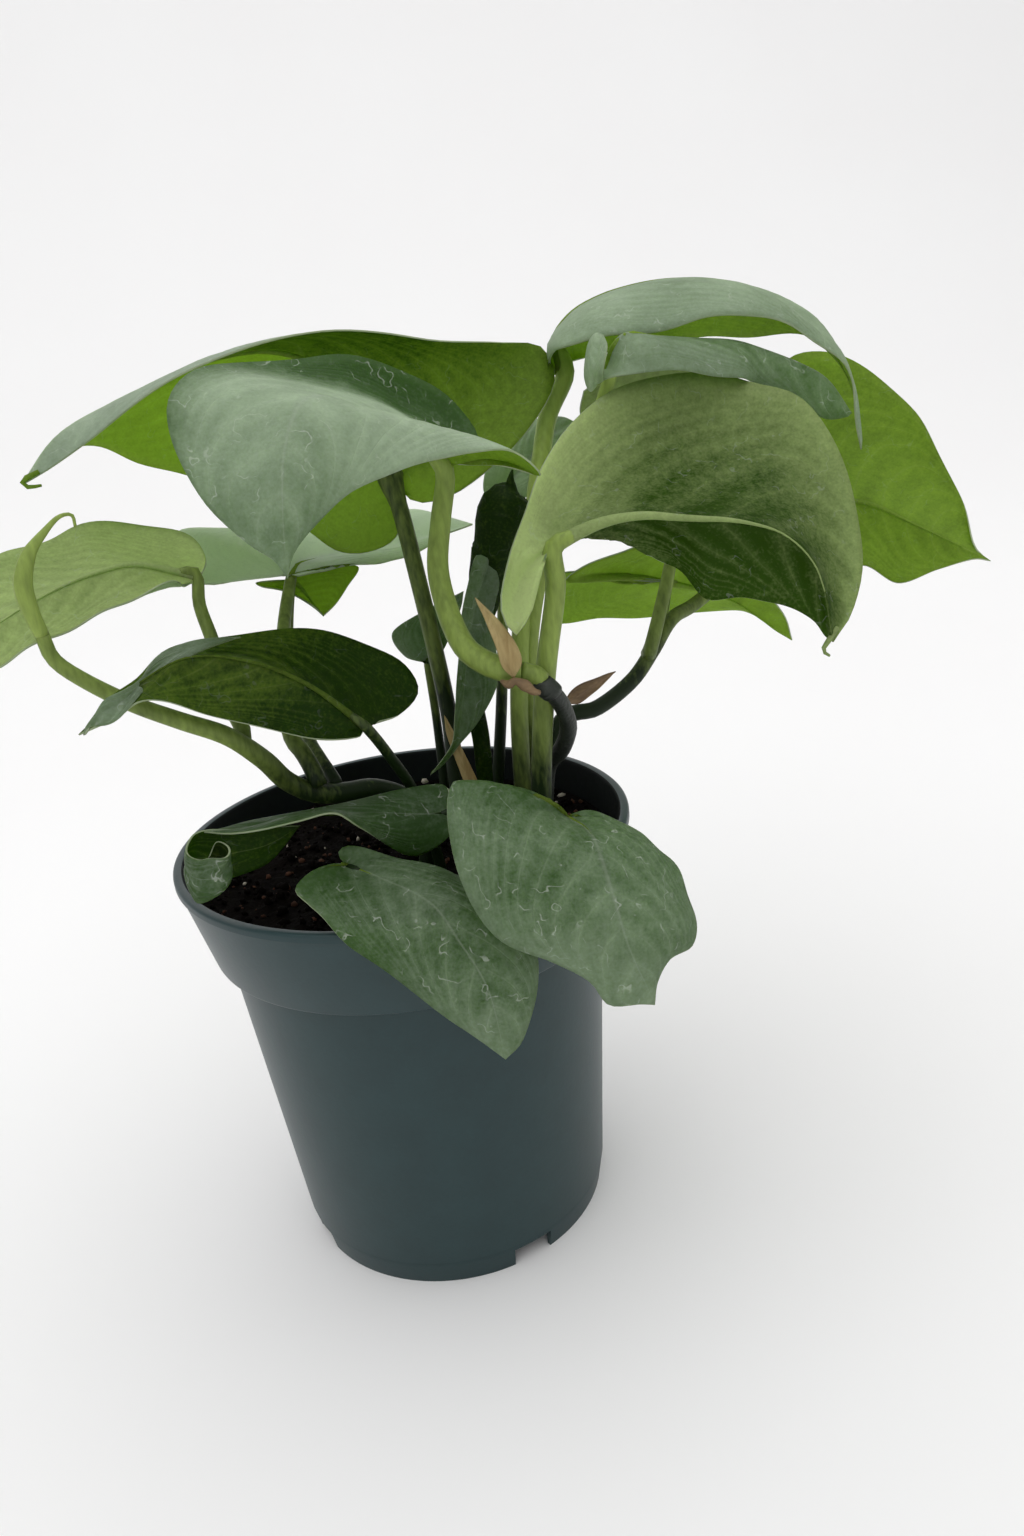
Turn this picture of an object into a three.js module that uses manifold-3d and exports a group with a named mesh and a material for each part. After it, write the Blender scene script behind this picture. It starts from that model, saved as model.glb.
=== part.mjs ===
// Potted scindapsus: a green moulded nursery pot, its soil, and a vine plant with long-stalked leaves.
// Millimetres, +Z up. The pot stands on z = 0 and its axis is the axis of the plant's own points.

import * as THREE from 'three';
import { mergeVertices } from 'three/addons/utils/BufferGeometryUtils.js';
import Module from 'manifold-3d';

const wasm = await Module();
wasm.setup();

// Pot
const RIM_RADIUS = 78;
const POT_HEIGHT = 149;
const WALL = 1.5;
const LIP_WIDTH = 3.3;
const LIP_HEIGHT = 3;
const BAND_HEIGHT = 31.6;
const BAND_BOTTOM_RADIUS = 70.5;
const WALL_TOP_RADIUS = 66.1;
const SEAM_RADIUS = 57;
const FOOT_HEIGHT = 9.4;
const FOOT_RADIUS = 55.2;
const FOOT_NOTCHES = 4;
const FOOT_NOTCH_WIDTH = 15;
const FOOT_NOTCH_HEIGHT = 7.5;
const FIRST_NOTCH_DEGREES = 22;
const DRAIN_HOLE_RADIUS = 5;
const DRAIN_HOLE_CENTRE = 38;
const POT_SIDES = 48;

// Soil
const SOIL_LEVEL = 137;
const SOIL_CLEARANCE = 0.4;
const SOIL_LUMP = 1.2;
const HOLE_CLEARANCE = 0.7;

// Leaves and stems
const BLADE_THICKNESS = 0.9;
const STALK_SIDES = 7;
const STALK_STEP = 13;

const COLOURS = {
  pot: 0x33474a,
  soil: 0x1b1512,
  silverLeaf: 0x8fa694,
  greenLeaf: 0x6f9440,
  darkLeaf: 0x3a5233,
  vine: 0x5f7a3c,
  wood: 0x3c423d,
  dry: 0xb39a68,
  brown: 0x8a6747,
};

// Every leaf is one grown piece. Its stalk runs from the soil or the stem to the joint, its midrib from
// the joint to the tip, and each margin from beside the joint round the basal lobe to beside the tip.
// Left and right are seen from the upper face with the tip ahead. lobeShare is the part of the margin
// that fans out from the joint, arch is how far each half bellies towards its upper face, and wave is the
// height and the number of the ripples along the margin. curl is a part of the blade that has rolled up.
const LEAVES = {
  leaf_back_left: {
    colour: 'greenLeaf', rows: 14, columns: 3, wave: [0.8, 4],
    stalkRadius: [2.9, 2.9], lobeShare: 0.3, arch: [0.02, 0.12],
    stalk: [[22, 8, 120], [21, 12, 150], [22, 17, 180], [20, 16, 208], [18, 18, 230], [16, 22, 250]],
    midrib: [[15, 28, 261], [13, 33, 277], [3, 36, 294], [-16, 36, 306], [-40, 30, 305], [-65, 20, 297],
      [-84, 12, 289], [-97, 6, 276]],
    left: [[20, 24, 254], [28, 21, 253], [40, 20, 257], [59, 22, 269], [73, 28, 285], [71, 34, 297],
      [57, 32, 300], [36, 24, 303], [19, 16, 306], [-2, 8, 309], [-20, 4, 308], [-41, 2, 302],
      [-58, 4, 295], [-75, 6, 286], [-89, 6, 279]],
    right: [[15, 31, 244], [6, 33, 238], [-7, 35, 239], [-19, 40, 249], [-34, 46, 259], [-54, 52, 269],
      [-69, 50, 276], [-79, 40, 283], [-88, 22, 283]],
  },
  leaf_front_left: {
    colour: 'silverLeaf', rows: 14, columns: 3, wave: [0.6, 4],
    stalkRadius: [3.9, 2.9], lobeShare: 0.28, arch: [0.12, -0.1],
    stalk: [[40, -30, 203], [31, -28, 210], [24, -22, 221], [23, -16, 237], [26, -14, 251]],
    midrib: [[31, -14, 267], [19, -22, 279], [5, -32, 288], [-7, -44, 291], [-14, -56, 281],
      [-17, -66, 267], [-19, -70, 249]],
    left: [[37, -16, 266], [46, -22, 265], [56, -28, 262], [47, -34, 270], [36, -38, 272], [26, -44, 271],
      [14, -50, 270], [1, -58, 267], [-9, -64, 261], [-16, -69, 255]],
    right: [[36, -8, 269], [42, 0, 272], [40, 4, 279], [33, 4, 288], [21, 2, 295], [6, -2, 301],
      [-8, -8, 302], [-25, -16, 302], [-37, -28, 301], [-43, -40, 295], [-43, -48, 284], [-37, -57, 269],
      [-28, -62, 258], [-22, -67, 254]],
  },
  leaf_front_right: {
    colour: 'greenLeaf', rows: 16, columns: 4, wave: [0.8, 5],
    stalkRadius: [3.6, 3.1], lobeShare: 0.3, arch: [0.12, 0.16],
    stalk: [[45, -20, 120], [46, -22, 158], [51, -25, 199], [57, -26, 227]],
    midrib: [[58, -25, 241], [72, -30, 246], [84, -35, 247], [96, -40, 245], [109, -45, 243],
      [121, -50, 238], [130, -52, 226], [134, -52, 205]],
    left: [[64, -24, 243], [71, -24, 241], [78, -25, 239], [84, -27, 236], [90, -29, 232], [95, -32, 228],
      [99, -35, 223], [102, -39, 220], [111, -43, 220], [121, -46, 217], [129, -49, 212], [132, -51, 207]],
    right: [[54, -30, 238], [50, -34, 230], [46, -37, 222], [41, -38, 218], [38, -36, 227], [43, -30, 239],
      [50, -23, 250], [58, -15, 262], [72, -7, 275], [89, 0, 283], [115, 3, 283], [131, 0, 279],
      [145, -8, 272], [153, -20, 250], [152, -34, 227], [143, -46, 212]],
  },
  leaf_top_right: {
    colour: 'silverLeaf', rows: 14, columns: 3, wave: [1, 5],
    stalkRadius: [3.2, 3.2], lobeShare: 0.12, arch: [0.14, 0.12],
    stalk: [[42, 8, 120], [44, 11, 146], [47, 14, 182], [53, 18, 217], [60, 23, 242], [66, 29, 261],
      [71, 34, 275]],
    midrib: [[76, 38, 288], [76, 41, 298], [86, 43, 308], [104, 41, 313], [125, 36, 313], [146, 30, 306],
      [163, 21, 290], [172, 16, 274], [174, 13, 252]],
    left: [[81, 49, 290], [88, 62, 291], [100, 72, 292], [131, 77, 293], [154, 72, 293], [172, 57, 290],
      [175, 41, 285], [175, 21, 270], [175, 15, 258]],
    right: [[73, 30, 292], [73, 15, 296], [82, 9, 297], [98, 4, 298], [111, 4, 298], [130, 4, 300],
      [145, 8, 295], [163, 11, 285], [170, 12, 275], [172, 12, 260]],
  },
  leaf_right_lower: {
    colour: 'silverLeaf', rows: 12, columns: 3, wave: [0.6, 4],
    stalkRadius: [2.6, 1.9], lobeShare: 0.15, arch: [0, 0.14],
    stalk: [[50, 18, 120], [50, 17, 143], [56, 18, 188], [62, 18, 218], [71, 17, 248], [80, 13, 267]],
    midrib: [[85, 3, 288], [87, 0, 295], [91, -3, 298], [102, 1, 296], [115, 4, 294], [128, 6, 292],
      [139, 8, 288], [152, 9, 282], [160, 7, 276], [166, 3, 265]],
    left: [[86, 8, 288], [90, 11, 290], [96, 14, 291], [106, 17, 291], [119, 19, 292], [133, 20, 290],
      [143, 19, 285], [155, 17, 279], [163, 13, 272], [167, 8, 266]],
    right: [[83, 2, 287], [81, -4, 285], [85, -7, 286], [93, -9, 286], [105, -10, 285], [124, -5, 281],
      [137, 8, 277], [146, 10, 273], [152, 8, 268], [158, 5, 264], [164, 3, 264]],
    curl: {
      rows: 10, columns: 2, wave: [0, 1], lobeShare: 0, arch: [0.08, 0.08],
      midrib: [[86, 6, 288], [80, -2, 284], [79, -6, 288], [81, -6, 293], [83, -2, 298], [86, 5, 297]],
      left: [[82, -6, 285], [81, -11, 289], [83, -9, 295], [84, -2, 298]],
      right: [[79, -1, 282], [77, -1, 286], [78, 0, 292], [80, 1, 297], [83, 2, 299]],
    },
  },
  leaf_far_right: {
    colour: 'greenLeaf', rows: 12, columns: 3, wave: [0.8, 4],
    stalkRadius: [3.4, 2.2], lobeShare: 0.2, arch: [0.1, 0.12],
    stalk: [[45, 27, 115], [50, 27, 143], [63, 26, 168], [77, 26, 171], [91, 27, 179], [100, 28, 189],
      [109, 31, 199], [124, 38, 204]],
    midrib: [[164, 44, 231], [185, 38, 230], [199, 28, 222], [208, 20, 216], [222, 12, 207]],
    left: [[160, 44, 223], [161, 38, 210], [171, 34, 206], [183, 30, 208], [193, 24, 201], [205, 19, 205],
      [216, 14, 208]],
    right: [[165, 56, 239], [160, 66, 262], [171, 74, 281], [186, 72, 283], [201, 64, 275], [213, 52, 259],
      [217, 40, 243], [220, 28, 227], [218, 16, 213]],
  },
  leaf_far_left: {
    colour: 'greenLeaf', rows: 12, columns: 3, wave: [0.7, 4],
    stalkRadius: [2.4, 1.8], lobeShare: 0.18, arch: [0.14, 0.12],
    stalk: [[-42, -36, 201], [-44, -33, 207], [-45, -29, 215], [-47, -24, 227], [-49, -20, 237]],
    midrib: [[-49, -18, 244], [-55, -20, 247], [-64, -24, 251], [-72, -28, 251], [-83, -34, 249],
      [-99, -42, 243], [-112, -46, 235]],
    left: [[-48, -10, 244], [-47, 0, 247], [-51, 8, 253], [-59, 12, 257], [-73, 14, 260], [-84, 10, 261],
      [-93, 4, 259], [-105, -8, 257], [-111, -22, 251], [-113, -36, 242]],
    right: [[-52, -22, 243], [-54, -30, 246], [-67, -38, 243], [-78, -44, 240], [-90, -50, 237],
      [-100, -52, 233], [-108, -50, 232]],
  },
  leaf_left: {
    colour: 'darkLeaf', rows: 12, columns: 3, wave: [0.5, 4],
    stalkRadius: [1.9, 1.6], lobeShare: 0.2, arch: [0.12, 0.1],
    stalk: [[12, -18, 120], [9, -18, 148], [5, -18, 167], [-1, -31, 185]],
    midrib: [[-7, -42, 198], [-13, -44, 206], [-22, -48, 216], [-34, -54, 225], [-49, -60, 230],
      [-62, -66, 226], [-78, -72, 217]],
    left: [[-4, -36, 197], [4, -28, 196], [11, -22, 201], [8, -20, 210], [-1, -20, 217], [-15, -22, 224],
      [-29, -28, 228], [-44, -36, 229], [-57, -46, 230], [-64, -58, 226], [-70, -66, 224]],
    right: [[-9, -44, 196], [-20, -50, 199], [-32, -56, 206], [-46, -62, 214], [-56, -67, 221],
      [-62, -71, 223], [-68, -73, 220]],
  },
  leaf_back_silver: {
    colour: 'silverLeaf', rows: 12, columns: 3, wave: [0.5, 4],
    stalkRadius: [2.8, 2], lobeShare: 0.4, arch: [0.08, 0.06],
    stalk: [[-25, -25, 182], [-27, -23, 187], [-30, -20, 193], [-30, -6, 204], [-29, 14, 218]],
    midrib: [[-24, 30, 234], [-21, 34, 237], [-7, 44, 237], [15, 52, 236], [43, 58, 239]],
    left: [[-31, 24, 235], [-40, 20, 236], [-51, 18, 237], [-59, 24, 241], [-63, 36, 247], [-60, 46, 252],
      [-49, 54, 251], [-24, 66, 245], [-2, 74, 242], [21, 78, 245], [34, 68, 242]],
    right: [[-21, 27, 234], [-14, 31, 234], [-3, 37, 233], [14, 43, 232], [25, 47, 235], [34, 52, 238]],
  },
  leaf_rim_right: {
    colour: 'silverLeaf', rows: 14, columns: 3, wave: [0.7, 5],
    stalkRadius: [2.2, 1.8], lobeShare: 0.35, arch: [0.1, 0.1],
    stalk: [[30, -12, 120], [30, -22, 143], [37, -38, 156], [43, -54, 164]],
    midrib: [[48, -60, 167], [52, -70, 166], [53, -79, 162], [54, -88, 152], [56, -92, 139],
      [60, -92, 126], [62, -92, 119]],
    left: [[54, -60, 168], [60, -62, 166], [66, -66, 162], [70, -72, 160], [76, -78, 151], [78, -82, 139],
      [76, -86, 132], [68, -89, 131], [64, -90, 125]],
    right: [[46, -60, 169], [39, -62, 175], [31, -62, 181], [23, -64, 182], [15, -68, 186], [12, -78, 175],
      [13, -86, 164], [20, -90, 148], [34, -91, 138], [44, -91, 130], [49, -91, 121], [58, -92, 120]],
  },
  leaf_rim_front: {
    colour: 'silverLeaf', rows: 12, columns: 3, wave: [0.5, 4],
    stalkRadius: [2, 1.7], lobeShare: 0.3, arch: [0.08, 0.08],
    stalk: [[-2, -30, 120], [-7, -36, 140], [-14, -44, 150]],
    midrib: [[-18, -50, 159], [-8, -62, 158], [4, -74, 154], [10, -82, 145], [16, -88, 131], [18, -90, 109]],
    left: [[-20, -48, 160], [-20, -47, 163], [-15, -46, 163], [-2, -52, 159], [12, -63, 157],
      [23, -75, 152], [31, -82, 140], [30, -85, 127], [24, -89, 114]],
    right: [[-20, -52, 160], [-27, -58, 163], [-33, -64, 161], [-30, -68, 157], [-26, -73, 154],
      [-20, -80, 148], [-10, -84, 139], [0, -87, 128], [9, -89, 119]],
  },
  leaf_rim_left: {
    colour: 'darkLeaf', rows: 12, columns: 3, wave: [0, 1],
    stalkRadius: [1.8, 1.5], lobeShare: 0.15, arch: [0.08, 0.06],
    stalk: [[24, -18, 120], [22, -22, 140], [18, -26, 154]],
    midrib: [[17, -30, 162], [6, -34, 165], [-11, -40, 171], [-30, -46, 176], [-44, -52, 177],
      [-56, -55, 179]],
    left: [[14, -34, 156], [1, -38, 153], [-12, -48, 169], [-19, -52, 177], [-29, -56, 178],
      [-40, -58, 178], [-49, -57, 178]],
    right: [[16, -28, 167], [14, -24, 170], [1, -28, 172], [-15, -34, 173], [-33, -41, 175],
      [-44, -47, 177], [-51, -52, 178]],
    curl: {
      rows: 24, columns: 2, wave: [0, 1], lobeShare: 0, arch: [0.08, 0.08],
      midrib: [[-30, -47, 173], [-40, -50, 170], [-49, -52, 170], [-55, -53, 170], [-60, -54, 171],
        [-62, -58, 172], [-62, -62, 172], [-60, -65, 170], [-57, -66, 169], [-53, -66, 169],
        [-50, -62, 170], [-50, -59, 171], [-53, -57, 172], [-56, -58, 172]],
      left: [[-41, -51, 176], [-49, -54, 178], [-55, -54, 179], [-59, -56, 179], [-61, -60, 177],
        [-60, -64, 176], [-57, -66, 175], [-54, -66, 175], [-50, -65, 174], [-49, -61, 174],
        [-50, -58, 175], [-53, -57, 176]],
      right: [[-40, -48, 164], [-48, -50, 162], [-55, -52, 162], [-61, -53, 163], [-63, -56, 167],
        [-63, -61, 168], [-62, -64, 165], [-60, -66, 162], [-55, -66, 163], [-51, -64, 165],
        [-50, -60, 167], [-52, -57, 168]],
    },
  },
  leaf_back_right: {
    colour: 'greenLeaf', rows: 10, columns: 3, wave: [0.6, 3],
    stalkRadius: [2.4, 2], lobeShare: 0.35, arch: [0.08, 0.06],
    stalk: [[104, 35, 194], [109, 45, 197]],
    midrib: [[116, 60, 207], [129, 61, 202], [143, 60, 195], [154, 57, 186], [163, 52, 178]],
    left: [[105, 58, 208], [88, 54, 211], [72, 51, 215], [68, 60, 208], [73, 72, 194], [92, 76, 193],
      [109, 78, 190], [129, 76, 189], [149, 70, 189], [153, 64, 187], [159, 58, 181]],
    right: [[108, 58, 210], [90, 53, 214], [75, 49, 218], [84, 46, 220], [95, 44, 223], [108, 43, 226],
      [125, 43, 222], [142, 45, 210], [158, 49, 191]],
  },
  leaf_back_small: {
    colour: 'greenLeaf', rows: 8, columns: 2, wave: [0, 1],
    stalkRadius: [2.2, 1.6], lobeShare: 0.2, arch: [0.05, 0.05],
    stalk: [[-20, -17, 176], [-23, -12, 181], [-26, -4, 186], [-29, 10, 196], [-29, 24, 210],
      [-27, 32, 222]],
    midrib: [[-25, 39, 231], [-22, 40, 227], [-19, 39, 221], [-16, 36, 217]],
    left: [[-32, 38, 232], [-37, 37, 232], [-35, 37, 230], [-29, 37, 228], [-24, 37, 225], [-19, 36, 221]],
    right: [[-21, 42, 232], [-11, 45, 233], [-1, 46, 231], [-6, 43, 225], [-11, 40, 220]],
  },
  leaf_centre_small: {
    colour: 'darkLeaf', rows: 8, columns: 2, wave: [0, 1],
    stalkRadius: [2, 1.4], lobeShare: 0.2, arch: [0.06, 0.06],
    stalk: [[14, 24, 120], [17, 26, 145], [18, 28, 175]],
    midrib: [[17, 24, 198], [23, 22, 210], [33, 20, 222]],
    left: [[10, 30, 200], [7, 30, 209], [19, 26, 216], [26, 23, 219]],
    right: [[20, 24, 197], [26, 21, 206], [31, 19, 216]],
  },
  leaf_centre_back: {
    colour: 'silverLeaf', rows: 8, columns: 2, wave: [0, 1],
    stalkRadius: [2.4, 1.8], lobeShare: 0.2, arch: [0.1, 0.1],
    stalk: [[34, 34, 120], [37, 38, 137], [44, 42, 175], [49, 44, 212]],
    midrib: [[52, 44, 249], [61, 46, 257], [71, 48, 266], [83, 50, 271]],
    left: [[47, 44, 251], [49, 46, 259], [56, 52, 266], [70, 56, 273], [79, 54, 273]],
    right: [[55, 40, 246], [64, 38, 250], [75, 42, 257], [82, 46, 266]],
  },
  leaf_behind_right: {
    colour: 'greenLeaf', rows: 10, columns: 3, wave: [0.4, 3],
    stalkRadius: [2.6, 1.9], lobeShare: 0.25, arch: [0.1, 0.1],
    stalk: [[99, 24, 193], [104, 26, 206], [108, 28, 217], [111, 31, 226], [111, 34, 238]],
    midrib: [[108, 38, 252], [102, 34, 263], [94, 28, 271], [87, 22, 277], [80, 16, 282]],
    left: [[121, 36, 254], [135, 28, 266], [125, 19, 281], [110, 14, 287], [95, 13, 287], [86, 15, 285]],
    right: [[101, 34, 249], [90, 28, 255], [83, 24, 266], [79, 20, 275]],
  },
};

// The dry scale leaves are blades without a stalk.
const DRY_SCALES = {
  dry_scale_tan: {
    colour: 'dry', rows: 8, columns: 2, wave: [0, 1], lobeShare: 0, arch: [-0.15, -0.15],
    midrib: [[40, -35, 204], [38, -36, 212], [36, -34, 220], [34, -30, 226], [32, -28, 229]],
    left: [[37, -35, 208], [36, -36, 214], [34, -32, 222]],
    right: [[43, -35, 209], [41, -36, 216], [37, -32, 223]],
  },
  dry_scale_brown: {
    colour: 'brown', rows: 6, columns: 2, wave: [0, 1], lobeShare: 0, arch: [0.15, 0.15],
    midrib: [[84, 22, 185], [73, 18, 182], [68, 17, 180], [63, 16, 178]],
    left: [[80, 20, 185], [71, 17, 184], [66, 16, 182]],
    right: [[80, 21, 182], [75, 20, 179], [69, 19, 176]],
  },
  dry_scale_straw: {
    colour: 'dry', rows: 8, columns: 2, wave: [0, 1], lobeShare: 0, arch: [0.1, 0.1],
    midrib: [[29, 4, 139], [27, 6, 150], [24, 8, 165], [20, 11, 182]],
    left: [[27, 4, 143], [24, 6, 155], [20, 9, 174]],
    right: [[32, 5, 143], [29, 7, 155], [23, 9, 174]],
  },
};

// Stems: centre line, and the radius at stations spread evenly along it.
const LEFT_VINE = {
  path: [[4, -12, 120], [8, -10, 155], [1, -10, 163], [-8, -15, 169], [-16, -20, 171], [-25, -25, 174],
    [-33, -29, 181], [-38, -35, 191], [-46, -42, 202], [-57, -47, 210], [-68, -51, 218], [-78, -54, 227],
    [-84, -55, 234], [-85, -56, 241]],
  radii: [3.3, 3.3, 3.3, 3, 2.4, 1.9],
};
const ROLLED_SHOOT = {
  path: [[-85, -56, 240], [-86, -57, 248], [-86, -57, 255], [-83, -56, 262], [-78, -55, 267],
    [-74, -54, 270], [-71, -53, 270], [-71, -52, 267]],
  radii: [1.9, 2.1, 2.4, 2.4, 2, 1.3, 0.8, 0.5, 0.4],
};
const MAIN_STEM = {
  path: [[46, -4, 120], [49, -8, 152], [51, -12, 166], [55, -18, 173], [57, -24, 182], [55, -29, 191],
    [51, -33, 198], [49, -33, 200], [47, -32, 201]],
  radii: [3, 3, 3, 2.9, 2.8, 2.8],
};
const UNFURLING_ROLL = {
  path: [[30, 14, 120], [31, 14, 147], [32, 14, 170], [31, 14, 185], [33, 13, 199], [35, 13, 210],
    [39, 12, 220], [41, 12, 228], [44, 11, 235], [47, 11, 242], [49, 11, 248], [50, 10, 252], [51, 10, 255],
    [52, 10, 256], [52, 9, 258], [53, 9, 261]],
  radii: [3.0, 3.0, 3.0, 3.0, 3.0, 3.0, 3.0, 3.0, 3.0, 3.1, 3.1, 3.1, 3.2, 3.3, 3.4, 3.6, 3.8, 4.1, 4.4,
    4.7, 5.1, 5.4, 5.8, 6.3, 7.3, 8.1, 8.9, 8.8, 7.4, 1.6, 0.3],
};
const UNFURLING_FLAP = {
  colour: 'darkLeaf', rows: 10, columns: 2, wave: [0, 1], lobeShare: 0, arch: [0.1, 0.1],
  midrib: [[42, 5, 234], [36, 5, 222], [31, 6, 206], [27, 7, 188], [22, 6, 172], [12, 5, 163]],
  left: [[44, 6, 226], [41, 8, 214], [40, 7, 196], [38, 7, 188], [30, 6, 178], [22, 5, 171], [17, 5, 166]],
  right: [[37, 3, 236], [33, 4, 226], [29, 5, 213], [26, 6, 196], [23, 6, 182], [21, 5, 173],
    [15, 5, 166]],
};

function curveThrough(points) {
  const curve = new THREE.CatmullRomCurve3(
    points.map((point) => new THREE.Vector3(...point)), false, 'catmullrom', 0.5);
  curve.arcLengthDivisions = 400;
  return curve;
}

function meshFrom(vertices, triangles) {
  const geometry = new THREE.BufferGeometry();
  geometry.setAttribute('position', new THREE.Float32BufferAttribute(vertices.flat(), 3));
  geometry.setIndex(triangles.flat());
  return geometry;
}

function toSolid(geometry) {
  const bare = geometry.clone();
  bare.deleteAttribute('normal');
  bare.deleteAttribute('uv');
  const merged = mergeVertices(bare, 1e-4);
  return new wasm.Manifold(new wasm.Mesh({
    numProp: 3,
    vertProperties: new Float32Array(merged.attributes.position.array),
    triVerts: new Uint32Array(merged.index.array),
  }));
}

function fromSolid(solid) {
  const mesh = solid.getMesh();
  const geometry = new THREE.BufferGeometry();
  const positions = [];
  for (let i = 0; i < mesh.vertProperties.length; i += mesh.numProp) {
    positions.push(mesh.vertProperties[i], mesh.vertProperties[i + 1], mesh.vertProperties[i + 2]);
  }
  geometry.setAttribute('position', new THREE.Float32BufferAttribute(positions, 3));
  geometry.setIndex(new THREE.BufferAttribute(new Uint32Array(mesh.triVerts), 1));
  return geometry;
}

// A round stem along a smooth centre line. Its radius runs evenly through the radii list.
function stemGeometry(path, radii, sides = STALK_SIDES, stepLength = STALK_STEP) {
  const curve = curveThrough(path);
  const steps = Math.max(path.length - 1, radii.length - 1, Math.round(curve.getLength() / stepLength));
  const frames = curve.computeFrenetFrames(steps, false);
  const vertices = [];
  const triangles = [];
  for (let step = 0; step <= steps; step += 1) {
    const centre = curve.getPointAt(step / steps);
    const station = (step / steps) * (radii.length - 1);
    const before = Math.min(Math.floor(station), radii.length - 2);
    const radius = THREE.MathUtils.lerp(radii[before], radii[before + 1], station - before);
    for (let side = 0; side < sides; side += 1) {
      const angle = (2 * Math.PI * side) / sides;
      const point = centre.clone()
        .addScaledVector(frames.normals[step], radius * Math.cos(angle))
        .addScaledVector(frames.binormals[step], radius * Math.sin(angle));
      vertices.push(point.toArray());
    }
  }
  for (let step = 0; step < steps; step += 1) {
    for (let side = 0; side < sides; side += 1) {
      const a = step * sides + side;
      const b = step * sides + ((side + 1) % sides);
      triangles.push([a, b, b + sides], [a, b + sides, a + sides]);
    }
  }
  const last = steps * sides;
  for (let side = 1; side < sides - 1; side += 1) {
    triangles.push([0, side + 1, side]);
    triangles.push([last, last + side, last + side + 1]);
  }
  return meshFrom(vertices, triangles);
}

// One half of a blade, as rows from the joint to the tip and columns from the midrib to the margin.
function bladeHalf(leaf, margin, arch, side) {
  const rib = curveThrough(leaf.midrib);
  const joint = leaf.midrib[0];
  const tip = leaf.midrib[leaf.midrib.length - 1];
  const edge = curveThrough([joint, ...margin, tip]);
  const [waveHeight, waves] = leaf.wave;
  const rows = [];
  for (let row = 1; row <= leaf.rows; row += 1) {
    const v = row / leaf.rows;
    const along = Math.max(0, (v - leaf.lobeShare) / (1 - leaf.lobeShare));
    const from = rib.getPointAt(along);
    const to = edge.getPointAt(v);
    const across = to.clone().sub(from);
    const forward = rib.getTangentAt(along).add(edge.getTangentAt(v));
    const up = new THREE.Vector3().crossVectors(forward, across).multiplyScalar(side).normalize();
    const width = across.length();
    const ripple = waveHeight * Math.sin(2 * Math.PI * waves * v) * Math.sin(Math.PI * v);
    const points = [];
    for (let column = 0; column <= leaf.columns; column += 1) {
      const u = column / leaf.columns;
      const lift = arch * width * 4 * u * (1 - u) + ripple * u * u;
      points.push(from.clone().addScaledVector(across, u).addScaledVector(up, lift));
    }
    rows.push(points);
  }
  return rows;
}

// A blade of even thickness: both halves are joined along the midrib and close at the tip.
function bladeGeometry(leaf) {
  const points = [];
  const indexOf = new Map();
  const index = (point) => {
    const key = point.toArray().map((value) => value.toFixed(4)).join();
    if (!indexOf.has(key)) {
      indexOf.set(key, points.length);
      points.push(point);
    }
    return indexOf.get(key);
  };
  const faces = [];
  const addFace = (a, b, c) => {
    if (a !== b && b !== c && c !== a) faces.push([a, b, c]);
  };
  const halves = [
    [bladeHalf(leaf, leaf.left, leaf.arch[0], 1), 1],
    [bladeHalf(leaf, leaf.right, leaf.arch[1], -1), -1],
  ];
  for (const [rows, side] of halves) {
    const grid = rows.map((row) => row.map(index));
    for (let row = 0; row < grid.length - 1; row += 1) {
      for (let column = 0; column < leaf.columns; column += 1) {
        const a = grid[row][column];
        const b = grid[row + 1][column];
        const c = grid[row + 1][column + 1];
        const d = grid[row][column + 1];
        if (side > 0) {
          addFace(a, b, c);
          addFace(a, c, d);
        } else {
          addFace(a, c, b);
          addFace(a, d, c);
        }
      }
    }
  }
  return thicken(points, faces, BLADE_THICKNESS);
}

// Gives a sheet of triangles a wall: the sheet is its middle surface.
function thicken(points, faces, thickness) {
  const normals = points.map(() => new THREE.Vector3());
  const edges = new Map();
  for (const face of faces) {
    const [a, b, c] = face.map((corner) => points[corner]);
    const normal = new THREE.Vector3().crossVectors(b.clone().sub(a), c.clone().sub(a));
    face.forEach((corner) => normals[corner].add(normal));
    face.forEach((corner, i) => edges.set(`${corner},${face[(i + 1) % 3]}`, [corner, face[(i + 1) % 3]]));
  }
  normals.forEach((normal) => normal.normalize());
  const upper = points.map((point, i) => point.clone().addScaledVector(normals[i], thickness / 2));
  const lower = points.map((point, i) => point.clone().addScaledVector(normals[i], -thickness / 2));
  const vertices = [...upper, ...lower].map((point) => point.toArray());
  const count = points.length;
  const triangles = [];
  for (const [a, b, c] of faces) {
    triangles.push([a, b, c], [a + count, c + count, b + count]);
  }
  for (const [a, b] of edges.values()) {
    if (!edges.has(`${b},${a}`)) {
      triangles.push([a, a + count, b + count], [a, b + count, b]);
    }
  }
  return meshFrom(vertices, triangles);
}

function leafSolid(leaf) {
  const rib = curveThrough(leaf.midrib);
  const stalkPath = [...leaf.stalk, leaf.midrib[0], rib.getPointAt(0.12).toArray()];
  const [thick, thin] = leaf.stalkRadius;
  const radii = [thick, THREE.MathUtils.lerp(thick, thin, 0.4), thin, thin, thin * 0.6];
  const grown = toSolid(bladeGeometry(leaf)).add(toSolid(stemGeometry(stalkPath, radii)));
  return leaf.curl ? grown.add(toSolid(bladeGeometry(leaf.curl))) : grown;
}

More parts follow.
